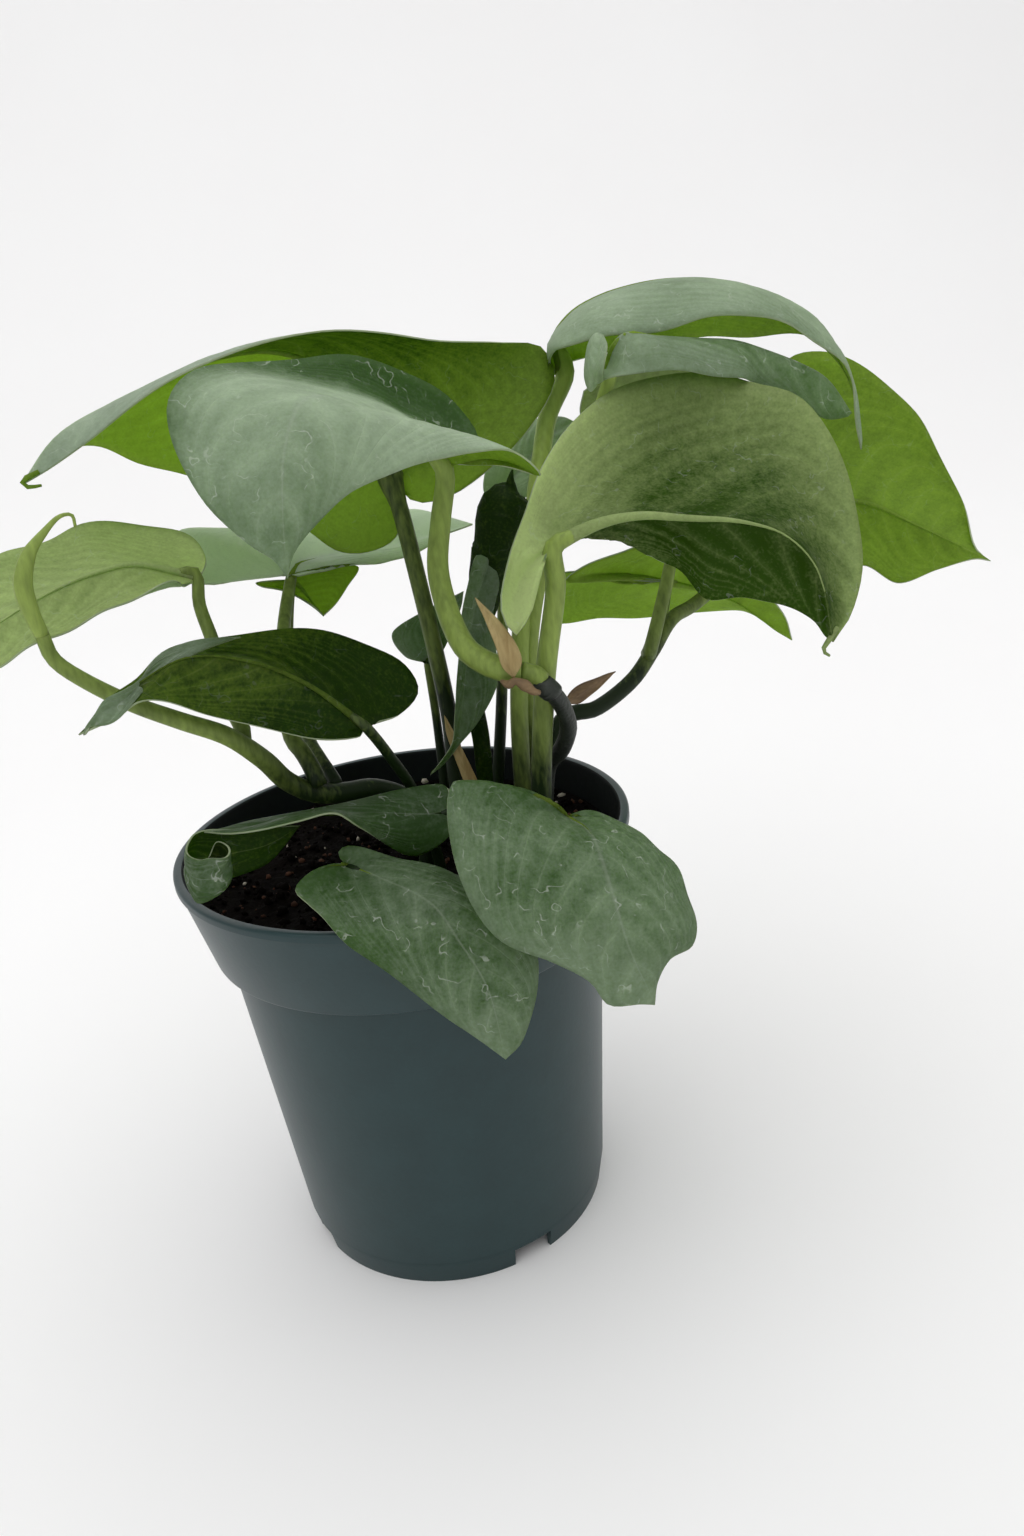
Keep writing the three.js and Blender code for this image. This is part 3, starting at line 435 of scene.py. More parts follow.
def leaf_piece(name, leaf):
    """A leaf with its stalk, which runs on under the blade as the midrib."""
    bm = bmesh.new()
    blade(bm, leaf, tints=leaf["tints"])
    if "curl" in leaf:
        blade(bm, leaf["curl"], columns=8, rows=80, tints=leaf["tints"])
    if "hook" in leaf:
        sweep(bm, leaf["hook"], [0.7, 0.9, 0.7, 0.4], sides=10, material=1, tint=leaf["tints"][1])
    rib, edges = blade_curves(leaf)
    root, neck = leaf["stalk_radius"]
    # The ridge of the midrib lies against the under face and thins out towards the tip.
    ridge = []
    ridge_length, ridge_steps, stalk_steps = 0.85, 12, 14
    thin = [0.8 * neck, 0.45 * neck, 0.3 * neck, 0.25, 0.2]
    for i in range(ridge_steps + 1):
        share = ridge_length * i / ridge_steps
        place = leaf["lobe"] + (1 - leaf["lobe"]) * share
        up = Vector()
        for side, edge in edges.items():
            up += frame_of(leaf, rib, edge, side, place)[2]
        ridge.append(at(rib, share) - up.normalized() * (BLADE_THICKNESS + 0.4 * along(thin, share)))
        if i == 0:
            joint = at(rib, 0) - up.normalized() * neck
    radii = [root * 1.12, root, *[along([root, neck], i / stalk_steps) for i in range(1, stalk_steps)],
             neck * leaf.get("flare", 1), 0.6 * neck]
    sweep(bm, [*leaf.get("foot", []), *leaf["stalk"], joint, ridge[1]], radii, material=3,
          tint=leaf.get("stalk_tint", 0.6))
    sweep(bm, ridge, thin, sides=10, material=1, tint=leaf["tints"][1] + 0.1)
    under = pale_skin if "pale" in leaf else green_skin
    place_piece(name, bm, [silver_skin, under, margin_skin, stalk_skin], ["leaf_" + name])


# Every leaf: its stalk from the soil or stem to the joint, its midrib to the tip, and its margins from
# beside the joint round the basal lobe to beside the tip. Left and right are seen from above with the
# tip ahead. foot runs the stalk on into the stem it grows from, hook is a tip rolled to a thread, and
# curl is a strip of blade where a margin rolls up. lobe is the share of the margin behind the joint.
# wave is the height and number of the waves along a margin, quilt the height of the pillows between the
# veins, and arch and cup say how far each half bulges for its width. flare widens the stalk at the joint.
# tints and stalk_tint set how light the faces and the stalk are, and painted_light_fade and shade vary it
# over the blade: the leaf's own tone together with painted light and shade, for how each leaf lies in the
# light and under the others.
LEAVES = {
    "back_left": {
        "slot": "green_leaf", "stalk_radius": [2.9, 2.9], "lobe": 0.3, "arch": [0.02, 0.12],
        "wave": [0.8, 4], "quilt": 0.12, "flare": 1.6, "stalk_tint": 0.35, "tints": (0.7, 0.6),
        "painted_light_fade": (0, (0.3, -0.45, -0.1), (0, 0.15, 0)),
        "hook": [[-91, 6, 279], [-96, 5, 277], [-95, 5, 275], [-91, 5, 275]],
        "stalk": [[22, 8, 120], [21, 12, 150], [22, 17, 180], [20, 16, 208], [18, 18, 230], [16, 22, 250]],
        "midrib": [[15, 28, 261], [13, 33, 277], [3, 36, 294], [-16, 36, 306], [-40, 30, 305],
            [-65, 20, 297], [-84, 12, 289], [-97, 6, 276]],
        "left": [[20, 24, 254], [28, 21, 253], [40, 20, 257], [59, 22, 269], [73, 28, 285], [71, 34, 297],
            [57, 32, 300], [36, 24, 303], [19, 16, 306], [-2, 8, 309], [-20, 4, 308], [-41, 2, 302],
            [-58, 4, 295], [-75, 6, 286], [-89, 6, 279]],
        "right": [[15, 31, 244], [6, 33, 238], [-7, 35, 239], [-19, 40, 249], [-34, 46, 259],
            [-54, 52, 269], [-69, 50, 276], [-79, 40, 283], [-88, 22, 283]],
    },
    "front_left": {
        "slot": "silver_leaf", "stalk_radius": [3.9, 2.9], "lobe": 0.28, "arch": [0.12, -0.1],
        "wave": [0.6, 4], "quilt": 0.15, "cup": (0, 0.13), "stalk_tint": 0.8, "tints": (1.35, 0.5),
        "painted_light_fade": (-1.1, (0, 0, 0), (0, 0, 0)), "shade": (0, 1.5),
        "stalk": [[43, -31, 205], [38, -30, 206], [32, -28, 209], [27, -25, 214], [24, -20, 224],
            [23, -16, 237], [26, -14, 251]],
        "midrib": [[31, -14, 267], [19, -22, 279], [5, -32, 288], [-7, -44, 291], [-14, -56, 281],
            [-17, -66, 267], [-19, -70, 249]],
        "left": [[37, -16, 266], [46, -22, 265], [56, -28, 262], [47, -34, 270], [36, -38, 272],
            [26, -44, 271], [14, -50, 270], [1, -58, 267], [-9, -64, 261], [-16, -69, 255]],
        "right": [[36, -8, 269], [42, 0, 272], [40, 4, 279], [33, 4, 288], [21, 2, 295], [6, -2, 301],
            [-8, -8, 302], [-25, -16, 302], [-37, -28, 301], [-43, -40, 295], [-43, -48, 284],
            [-37, -57, 269], [-28, -62, 258], [-22, -67, 254]],
    },
    "front_right": {
        "slot": "green_leaf", "stalk_radius": [3.6, 3.1], "lobe": 0.3, "arch": [0.12, 0.16],
        "wave": [0.8, 5], "quilt": 0.4, "pale": True, "stalk_tint": 0.8, "tints": (0.5, 0.5),
        "painted_light_fade": (0, (-0.15, -0.5, 0), (0.85, -0.45, 0.45)),
        "hook": [[136, -51, 209], [133, -52, 206], [131, -52, 203], [133, -52, 201]],
        "stalk": [[45, -20, 120], [46, -22, 158], [51, -25, 199], [57, -26, 227]],
        "midrib": [[58, -25, 241], [72, -30, 246], [84, -35, 247], [96, -40, 245], [109, -45, 243],
            [121, -50, 238], [130, -52, 226], [134, -52, 205]],
        "left": [[64, -24, 243], [71, -24, 241], [78, -25, 239], [84, -27, 236], [90, -29, 232],
            [95, -32, 228], [99, -35, 223], [102, -39, 220], [111, -43, 220], [121, -46, 217],
            [129, -49, 212], [132, -51, 207]],
        "right": [[54, -30, 238], [50, -34, 230], [46, -37, 222], [41, -38, 218], [38, -36, 227],
            [43, -30, 239], [50, -23, 250], [58, -15, 262], [72, -7, 275], [89, 0, 283], [115, 3, 283],
            [131, 0, 279], [145, -8, 272], [153, -20, 250], [152, -34, 227], [143, -46, 212]],
    },
    "top_right": {
        "slot": "silver_leaf", "stalk_radius": [3.2, 3.2], "lobe": 0.12, "arch": [0.14, 0.12],
        "wave": [1, 5], "quilt": 0.21, "stalk_tint": 1.0, "tints": (0.55, 0.5),
        "stalk": [[42, 8, 120], [44, 11, 146], [47, 14, 182], [53, 18, 217], [60, 23, 242], [66, 29, 261],
            [71, 34, 275]],
        "midrib": [[76, 38, 288], [76, 41, 298], [86, 43, 308], [104, 41, 313], [125, 36, 313],
            [146, 30, 306], [163, 21, 290], [172, 16, 274], [174, 13, 252]],
        "left": [[81, 49, 290], [88, 62, 291], [100, 72, 292], [131, 77, 293], [154, 72, 293],
            [172, 57, 290], [175, 41, 285], [175, 21, 270], [175, 15, 258]],
        "right": [[73, 30, 292], [73, 15, 296], [82, 9, 297], [98, 4, 298], [111, 4, 298], [130, 4, 300],
            [145, 8, 295], [163, 11, 285], [170, 12, 275], [172, 12, 260]],
    },
    "right_lower": {
        "slot": "silver_leaf", "stalk_radius": [3.2, 2.2], "lobe": 0.15, "arch": [0, 0.14],
        "wave": [0.6, 4], "quilt": 0.18, "stalk_tint": 1.0, "tints": (0.6, 0.7),
        "painted_light_fade": (-0.5, (0, 0, 0), (0, 0, 0)),
        "stalk": [[50, 18, 120], [49, 17, 143], [52, 18, 188], [58, 18, 218], [69, 17, 248], [80, 13, 267]],
        "midrib": [[85, 3, 288], [87, 0, 295], [91, -3, 298], [102, 1, 296], [115, 4, 294], [128, 6, 292],
            [139, 8, 288], [152, 9, 282], [160, 7, 276], [166, 3, 265]],
        "left": [[86, 8, 288], [90, 11, 290], [96, 14, 291], [106, 17, 291], [119, 19, 292], [133, 20, 290],
            [143, 19, 285], [155, 17, 279], [163, 13, 272], [167, 8, 266]],
        "right": [[83, 2, 287], [81, -4, 285], [85, -7, 286], [93, -9, 286], [105, -10, 285],
            [124, -5, 281], [137, 8, 277], [146, 10, 273], [152, 8, 268], [158, 5, 264], [164, 3, 264]],
        "curl": {
            "lobe": 0, "arch": [0.08, 0.08], "wave": [0, 1], "quilt": 0,
            "midrib": [[86, 6, 288], [80, -2, 284], [79, -6, 288], [81, -6, 293], [83, -2, 298],
                [86, 5, 297]],
            "right": [[82, -6, 285], [81, -11, 289], [83, -9, 295], [84, -2, 298]],
            "left": [[79, -1, 282], [77, -1, 286], [78, 0, 292], [80, 1, 297], [83, 2, 299]],
        },
    },
    "far_right": {
        "slot": "green_leaf", "stalk_radius": [3.4, 2.2], "lobe": 0.2, "arch": [0.1, 0.12],
        "wave": [0.8, 4], "quilt": 0.15, "stalk_tint": 0.45, "tints": (0.5, 0.53),
        "stalk": [[45, 27, 115], [50, 27, 143], [63, 26, 168], [77, 26, 171], [91, 27, 179], [100, 28, 189],
            [109, 31, 199], [124, 38, 204]],
        "midrib": [[164, 44, 231], [185, 38, 230], [199, 28, 222], [208, 20, 216], [222, 12, 207]],
        "left": [[160, 44, 223], [161, 38, 210], [171, 34, 206], [183, 30, 208], [193, 24, 201],
            [205, 19, 205], [216, 14, 208]],
        "right": [[165, 56, 239], [160, 66, 262], [171, 74, 281], [186, 72, 283], [201, 64, 275],
            [213, 52, 259], [217, 40, 243], [220, 28, 227], [218, 16, 213]],
    },
    "far_left": {
        "slot": "green_leaf", "stalk_radius": [2.4, 1.8], "lobe": 0.18, "arch": [0.14, 0.12],
        "wave": [0.7, 4], "quilt": 0.18, "pale": True, "stalk_tint": 0.5, "tints": (0.5, 0.6),
        "painted_light_fade": (0, (0.3, 0, 0), (0.3, 0, 0)),
        "foot": [[-43, -39, 198]],
        "stalk": [[-42, -36, 201], [-44, -33, 207], [-45, -29, 215], [-47, -24, 227], [-49, -20, 237]],
        "midrib": [[-49, -18, 244], [-55, -20, 247], [-64, -24, 251], [-72, -28, 251], [-83, -34, 249],
            [-99, -42, 243], [-112, -46, 235]],
        "left": [[-48, -10, 244], [-47, 0, 247], [-51, 8, 253], [-59, 12, 257], [-73, 14, 260],
            [-84, 10, 261], [-93, 4, 259], [-105, -8, 257], [-111, -22, 251], [-113, -36, 242]],
        "right": [[-52, -22, 243], [-54, -30, 246], [-67, -38, 243], [-78, -44, 240], [-90, -50, 237],
            [-100, -52, 233], [-108, -50, 232]],
    },
    "left": {
        "slot": "dark_leaf", "stalk_radius": [1.9, 1.6], "lobe": 0.2, "arch": [0.12, 0.1], "wave": [0.5, 4],
        "quilt": 0.12, "stalk_tint": 0.25, "tints": (0.3, 0.15), "painted_light_fade": (0, (-0.5, 0, 0), (-0.5, 0, 0)),
        "stalk": [[12, -18, 120], [9, -18, 148], [5, -18, 167], [-1, -31, 185]],
        "midrib": [[-7, -42, 198], [-13, -44, 206], [-22, -48, 216], [-34, -54, 225], [-49, -60, 230],
            [-62, -66, 226], [-78, -72, 217]],
        "left": [[-4, -36, 197], [4, -28, 196], [11, -22, 201], [8, -20, 210], [-1, -20, 217],
            [-15, -22, 224], [-29, -28, 228], [-44, -36, 229], [-57, -46, 230], [-64, -58, 226],
            [-70, -66, 224]],
        "right": [[-9, -44, 196], [-20, -50, 199], [-32, -56, 206], [-46, -62, 214], [-56, -67, 221],
            [-62, -71, 223], [-68, -73, 220]],
        "curl": {
            "lobe": 0, "arch": [0.1, 0.1], "wave": [0, 1], "quilt": 0,
            "midrib": [[-37, -36, 229], [-46, -48, 231], [-54, -55, 230], [-59, -61, 228], [-62, -67, 226],
                [-66, -72, 224], [-70, -75, 223], [-73, -77, 221], [-76, -76, 218]],
            "left": [[-45, -50, 230], [-54, -57, 228], [-59, -64, 226], [-62, -70, 224], [-66, -75, 221],
                [-69, -77, 220], [-72, -77, 220], [-74, -77, 220]],
            "right": [[-47, -46, 232], [-54, -52, 232], [-58, -58, 231], [-61, -64, 228], [-64, -70, 227],
                [-69, -74, 226], [-72, -76, 223], [-75, -76, 220]],
        },
    },
    "back_silver": {
        "slot": "silver_leaf", "stalk_radius": [2.8, 2], "lobe": 0.4, "arch": [0.08, 0.06],
        "wave": [0.5, 4], "quilt": 0.09, "stalk_tint": 0.5, "tints": (1.1, 0.5),
        "foot": [[-24, -26, 177]],
        "stalk": [[-25, -25, 182], [-27, -23, 187], [-30, -20, 193], [-30, -6, 204], [-29, 14, 218]],
        "midrib": [[-24, 30, 234], [-21, 34, 237], [-7, 44, 237], [15, 52, 236], [43, 58, 239]],
        "left": [[-31, 24, 235], [-40, 20, 236], [-51, 18, 237], [-59, 24, 241], [-63, 36, 247],
            [-60, 46, 252], [-49, 54, 251], [-24, 66, 245], [-2, 74, 242], [21, 78, 245], [34, 68, 242]],
        "right": [[-21, 27, 234], [-14, 31, 234], [-3, 37, 233], [14, 43, 232], [25, 47, 235],
            [34, 52, 238]],
    },
    "rim_right": {
        "slot": "silver_leaf", "stalk_radius": [2.2, 1.8], "lobe": 0.35, "arch": [0.1, 0.1],
        "wave": [0.7, 5], "quilt": 0.3, "tints": (0.02, 0.4), "painted_light_fade": (0.35, (0, 0, 0), (0, 0, 0)),
        "stalk": [[30, -12, 120], [30, -22, 143], [37, -38, 156], [43, -54, 164]],
        "midrib": [[48, -60, 167], [52, -70, 166], [53, -79, 162], [54, -88, 152], [56, -92, 139],
            [60, -92, 126], [62, -92, 119]],
        "left": [[54, -60, 168], [60, -62, 166], [66, -66, 162], [70, -72, 160], [76, -78, 151],
            [78, -82, 139], [76, -86, 132], [68, -89, 131], [64, -90, 125]],
        "right": [[46, -60, 169], [39, -62, 175], [31, -62, 181], [23, -64, 182], [15, -68, 186],
            [12, -78, 175], [13, -86, 164], [20, -90, 148], [34, -91, 138], [44, -91, 130], [49, -91, 121],
            [58, -92, 120]],
    },
    "rim_front": {
        "slot": "silver_leaf", "stalk_radius": [2, 1.7], "lobe": 0.3, "arch": [0.08, 0.08],
        "wave": [0.5, 4], "quilt": 0.24, "tints": (0.03, 0.4), "painted_light_fade": (0.2, (0, 0, 0), (0, 0, 0)),
        "stalk": [[-2, -30, 120], [-7, -36, 140], [-14, -44, 150]],
        "midrib": [[-18, -50, 159], [-8, -62, 158], [4, -74, 154], [10, -82, 145], [16, -88, 131],
            [18, -90, 109]],
        "left": [[-20, -48, 160], [-20, -47, 163], [-15, -46, 163], [-2, -52, 159], [12, -63, 157],
            [23, -75, 152], [31, -82, 140], [30, -85, 127], [24, -89, 114]],
        "right": [[-20, -52, 160], [-27, -58, 163], [-33, -64, 161], [-30, -68, 157], [-26, -73, 154],
            [-20, -80, 148], [-10, -84, 139], [0, -87, 128], [9, -89, 119]],
    },
    "rim_left": {
        "slot": "dark_leaf", "stalk_radius": [1.8, 1.5], "lobe": 0.15, "arch": [0.08, 0.06], "wave": [0, 1],
        "quilt": 0.09, "tints": (0.02, -0.1),
        "stalk": [[24, -18, 120], [22, -22, 140], [18, -26, 154]],
        "midrib": [[17, -30, 162], [6, -34, 165], [-11, -40, 171], [-30, -46, 176], [-44, -52, 177],
            [-56, -55, 179]],
        "left": [[14, -34, 156], [1, -38, 153], [-12, -48, 169], [-19, -52, 177], [-29, -56, 178],
            [-40, -58, 178], [-49, -57, 178]],
        "right": [[16, -28, 167], [14, -24, 170], [1, -28, 172], [-15, -34, 173], [-33, -41, 175],
            [-44, -47, 177], [-51, -52, 178]],
        "curl": {
            "lobe": 0, "arch": [0.08, 0.08], "wave": [0, 1], "quilt": 0,
            "midrib": [[-30, -47, 173], [-40, -50, 170], [-49, -52, 170], [-55, -53, 170], [-60, -54, 171],
                [-62, -58, 172], [-62, -62, 172], [-60, -65, 170], [-57, -66, 169], [-53, -66, 169],
                [-50, -62, 170], [-50, -59, 171], [-53, -57, 172], [-56, -58, 172]],
            "left": [[-41, -51, 176], [-49, -54, 178], [-55, -54, 179], [-59, -56, 179], [-61, -60, 177],
                [-60, -64, 176], [-57, -66, 175], [-54, -66, 175], [-50, -65, 174], [-49, -61, 174],
                [-50, -58, 175], [-53, -57, 176]],
            "right": [[-40, -48, 164], [-48, -50, 162], [-55, -52, 162], [-61, -53, 163], [-63, -56, 167],
                [-63, -61, 168], [-62, -64, 165], [-60, -66, 162], [-55, -66, 163], [-51, -64, 165],
                [-50, -60, 167], [-52, -57, 168]],
        },
    },
    "back_right": {
        "slot": "green_leaf", "stalk_radius": [2.4, 2], "lobe": 0.35, "arch": [0.08, 0.06],
        "wave": [0.6, 3], "quilt": 0.15, "tints": (0.5, 0.7),
        "foot": [[101, 30, 192]],
        "stalk": [[104, 35, 194], [109, 45, 197]],
        "midrib": [[116, 60, 207], [129, 61, 202], [143, 60, 195], [154, 57, 186], [163, 52, 178]],
        "left": [[105, 58, 209], [88, 54, 214], [73, 51, 218], [68, 60, 210], [73, 72, 194], [92, 76, 193],
            [109, 78, 190], [129, 76, 189], [149, 70, 189], [153, 64, 187], [159, 58, 181]],
        "right": [[108, 58, 209], [90, 53, 212], [74, 49, 215], [81, 46, 220], [95, 44, 223],
            [108, 43, 226], [125, 43, 222], [142, 45, 210], [158, 49, 191]],
    },
    "back_small": {
        "slot": "green_leaf", "stalk_radius": [2.2, 1.6], "lobe": 0.2, "arch": [0.05, 0.05], "wave": [0, 1],
        "quilt": 0.06, "stalk_tint": 0.5, "tints": (0.4, 0.7),
        "foot": [[-19, -19, 173]],
        "stalk": [[-20, -17, 176], [-23, -12, 181], [-26, -4, 186], [-29, 10, 196], [-29, 24, 210],
            [-27, 32, 222]],
        "midrib": [[-25, 39, 231], [-22, 40, 227], [-19, 39, 221], [-16, 36, 217]],
        "left": [[-32, 38, 232], [-37, 37, 232], [-35, 37, 230], [-29, 37, 228], [-24, 37, 225],
            [-19, 36, 221]],
        "right": [[-21, 42, 232], [-11, 45, 233], [-1, 46, 231], [-6, 43, 225], [-11, 40, 220]],
    },
    "centre_small": {
        "slot": "dark_leaf", "stalk_radius": [2, 1.4], "lobe": 0.2, "arch": [0.06, 0.06], "wave": [0, 1],
        "quilt": 0.06, "tints": (0.2, 0.1),
        "stalk": [[14, 24, 120], [17, 26, 145], [18, 28, 175]],
        "midrib": [[17, 24, 198], [23, 22, 210], [33, 20, 222]],
        "left": [[10, 30, 200], [7, 30, 209], [19, 26, 216], [26, 23, 219]],
        "right": [[20, 24, 197], [26, 21, 206], [31, 19, 216]],
    },
    "centre_back": {
        "slot": "silver_leaf", "stalk_radius": [2.4, 1.8], "lobe": 0.2, "arch": [0.1, 0.1], "wave": [0, 1],
        "quilt": 0.06, "tints": (0.5, 0.3),
        "stalk": [[34, 34, 120], [37, 38, 137], [44, 42, 175], [49, 44, 212]],
        "midrib": [[52, 44, 249], [61, 46, 257], [71, 48, 266], [83, 50, 271]],
        "left": [[47, 44, 251], [49, 46, 259], [56, 52, 266], [70, 56, 273], [79, 54, 273]],
        "right": [[55, 40, 246], [64, 38, 250], [75, 42, 257], [82, 46, 266]],
    },
    "behind_right": {
        "slot": "green_leaf", "stalk_radius": [2.6, 1.9], "lobe": 0.25, "arch": [0.1, 0.1],
        "wave": [0.4, 3], "quilt": 0.12, "pale": True, "stalk_tint": 0.55, "tints": (0.5, 0.6),
        "foot": [[98, 27, 188]],
        "stalk": [[99, 24, 193], [104, 26, 206], [108, 28, 217], [111, 31, 226], [111, 34, 238]],
        "midrib": [[108, 38, 252], [102, 34, 263], [94, 28, 271], [87, 22, 277], [80, 16, 282]],
        "left": [[121, 36, 254], [135, 28, 266], [125, 19, 281], [110, 14, 287], [95, 13, 287],
            [86, 15, 285]],
        "right": [[101, 34, 249], [90, 28, 255], [83, 24, 266], [79, 20, 275]],
    },
}


# Pot

def spun(bm, profile, steps):
    """A closed profile of (radius, height) pairs turned once round the pot's axis."""
    verts = [bm.verts.new((r, 0, z)) for r, z in profile]
    edges = [bm.edges.new((verts[i], verts[i + 1])) for i in range(len(verts) - 1)]
    bmesh.ops.spin(bm, geom=verts + edges, cent=(0, 0, 0), axis=(0, 0, 1), angle=2 * math.pi, steps=steps,
                   use_merge=True)
    bmesh.ops.remove_doubles(bm, verts=bm.verts, dist=1e-4)
    bmesh.ops.recalc_face_normals(bm, faces=bm.faces)


def rounded(profile, corners, radius):
    """The profile with the corners at the given indexes cut round, in three steps each."""
    made = []
    for i, point in enumerate(profile):
        here = Vector((*point, 0))
        if i not in corners:
            made.append(tuple(here[:2]))
            continue
        before = Vector((*profile[i - 1], 0)) - here
        after = Vector((*profile[(i + 1) % len(profile)], 0)) - here
        size = min(radius, before.length / 2.5, after.length / 2.5)
        a, b = here + before.normalized() * size, here + after.normalized() * size
        for t in (0, 1 / 3, 2 / 3, 1):
            spot = a * (1 - t) ** 2 + here * 2 * t * (1 - t) + b * t * t
            made.append((spot.x, spot.y))
    return made


def make_pot():
    band_bottom = POT_HEIGHT - BAND_HEIGHT
    floor_top = FOOT_HEIGHT + BOTTOM_THICKNESS
    lip_inner = RIM_RADIUS - LIP_WIDTH
    lip_bottom = POT_HEIGHT - LIP_HEIGHT
    lip_step, seam_step, fillet = 0.8, 0.3, 0.4
    notch_radius = FOOT_RADIUS + (SEAM_RADIUS - FOOT_RADIUS) * FOOT_NOTCH_HEIGHT / FOOT_HEIGHT
    profile = [
        (0, FOOT_HEIGHT), (FOOT_RADIUS - WALL, FOOT_HEIGHT), (FOOT_RADIUS - WALL, FOOT_NOTCH_HEIGHT),
        (notch_radius, FOOT_NOTCH_HEIGHT), (SEAM_RADIUS - seam_step, FOOT_HEIGHT - seam_step),
        (SEAM_RADIUS - seam_step, FOOT_HEIGHT), (SEAM_RADIUS + 0.1, FOOT_HEIGHT + 0.2),
        (WALL_TOP_RADIUS, band_bottom - fillet), (WALL_TOP_RADIUS + fillet, band_bottom),
        (BAND_BOTTOM_RADIUS, band_bottom), (RIM_RADIUS - lip_step, lip_bottom),
        (RIM_RADIUS, lip_bottom + fillet), (RIM_RADIUS, POT_HEIGHT), (lip_inner, POT_HEIGHT),
        (BAND_BOTTOM_RADIUS - WALL, band_bottom + WALL), (WALL_TOP_RADIUS - WALL, band_bottom + WALL),
        (SEAM_RADIUS - WALL, floor_top), (0, floor_top),
    ]
    # The band's lower edge and both edges of the lip are cut round.
    profile = rounded(profile, {9}, 0.9)
    profile = rounded(profile, {len(profile) - 6, len(profile) - 5}, 1.1)
    bm = bmesh.new()
    spun(bm, profile, steps=192)
    # The foot ring reaches the ground between its notches.
    notch = math.asin(FOOT_NOTCH_WIDTH / 2 / FOOT_RADIUS)
    part_turn = 2 * math.pi / FOOT_NOTCHES
    feet = []
    for face in bm.faces:
        middle = face.calc_center_median()
        if abs(middle.z - FOOT_NOTCH_HEIGHT) > 0.01 or middle.xy.length < FOOT_RADIUS - WALL:
            continue
        turn = (math.atan2(middle.y, middle.x) - math.radians(FIRST_NOTCH_DEGREES)) % part_turn
        if notch < turn < part_turn - notch:
            feet.append(face)
    grown = bmesh.ops.extrude_face_region(bm, geom=feet)["geom"]
    bmesh.ops.delete(bm, geom=feet, context="FACES_KEEP_BOUNDARY")
    for vertex in (item for item in grown if isinstance(item, bmesh.types.BMVert)):
        reach = FOOT_RADIUS if vertex.co.xy.length > FOOT_RADIUS - 0.5 * WALL else FOOT_RADIUS - WALL
        vertex.co.xy = vertex.co.xy.normalized() * reach
        vertex.co.z = 0
    bmesh.ops.recalc_face_normals(bm, faces=bm.faces)
    # Faces above the bottom that look towards the axis are the inner wall, which takes the painted shade.
    for face in bm.faces:
        middle = face.calc_center_median()
        if middle.z > FOOT_HEIGHT and middle.xy.dot(face.normal.xy) < -0.5 * middle.xy.length:
            face.material_index = 1
    pot = place_piece("nursery_pot", bm, [pot_skin, inner_wall_shade_skin], ["pot"])
    pot.data.set_sharp_from_angle(angle=math.radians(38))


# Soil

def soil_height(x, y):
    """How far the soil's top stands above its mean level."""
    spot = Vector((x, y, 0))
    high = 1.6 * noise.noise(spot / 17) + 1.3 * noise.noise(spot / 6 + Vector((9, 2, 4)))
    return high + 0.8 * noise.noise(spot / 2.4 + Vector((3, 7, 1))) + 0.35 * noise.noise(spot / 1.1)


def make_soil():
    band_bottom = POT_HEIGHT - BAND_HEIGHT
    inset = WALL + SOIL_CLEARANCE
    shelf = band_bottom + inset
    bottom = FOOT_HEIGHT + BOTTOM_THICKNESS + SOIL_CLEARANCE
    slope = (RIM_RADIUS - LIP_WIDTH - BAND_BOTTOM_RADIUS + WALL) / (BAND_HEIGHT - WALL)
    top = BAND_BOTTOM_RADIUS - inset + slope * (SOIL_LEVEL - shelf)
    rings = 60
    profile = [(0, bottom), (SEAM_RADIUS - inset, bottom), (WALL_TOP_RADIUS - inset, shelf),
               (BAND_BOTTOM_RADIUS - inset, shelf)]
    profile += [(top * (1 - i / rings), SOIL_LEVEL) for i in range(rings + 1)]
    bm = bmesh.new()
    spun(bm, profile, steps=200)
    for vertex in bm.verts:
        if vertex.co.z > SOIL_LEVEL - 0.5:
            edge = min(1.0, (top - vertex.co.xy.length) / 4)
            vertex.co.z += soil_height(vertex.co.x, vertex.co.y) * max(0.15, edge)
    place_piece("soil_filling", bm, [peat], ["soil"])


def make_crumbs(name, count, sizes, material, seed):
    """Grains of one kind, half sunk in the soil's top."""
    chance = random.Random(seed)
    bm = bmesh.new()
    for _ in range(count):
        reach = CRUMB_REACH * math.sqrt(chance.random())
        turn = 2 * math.pi * chance.random()
        x, y = reach * math.cos(turn), reach * math.sin(turn)
        size = sizes[0] + (sizes[1] - sizes[0]) * chance.random() ** 2
        grain = bmesh.ops.create_icosphere(bm, subdivisions=1, radius=size)["verts"]
        for vertex in grain:
            vertex.co *= 1 + 0.35 * (chance.random() - 0.5)
        shape = Matrix.Diagonal((1, 0.6 + 0.5 * chance.random(), 0.5 + 0.4 * chance.random(), 1))
        angle = 2 * math.pi * chance.random()
        turned = Matrix.Rotation(angle, 4, Vector((chance.random(), chance.random(), 1)))
        spot = Matrix.Translation((x, y, SOIL_LEVEL + soil_height(x, y) + 0.25 * size))
        bmesh.ops.transform(bm, matrix=spot @ turned @ shape, verts=grain)
    place_piece(name, bm, [material], ["soil"])


# Stems

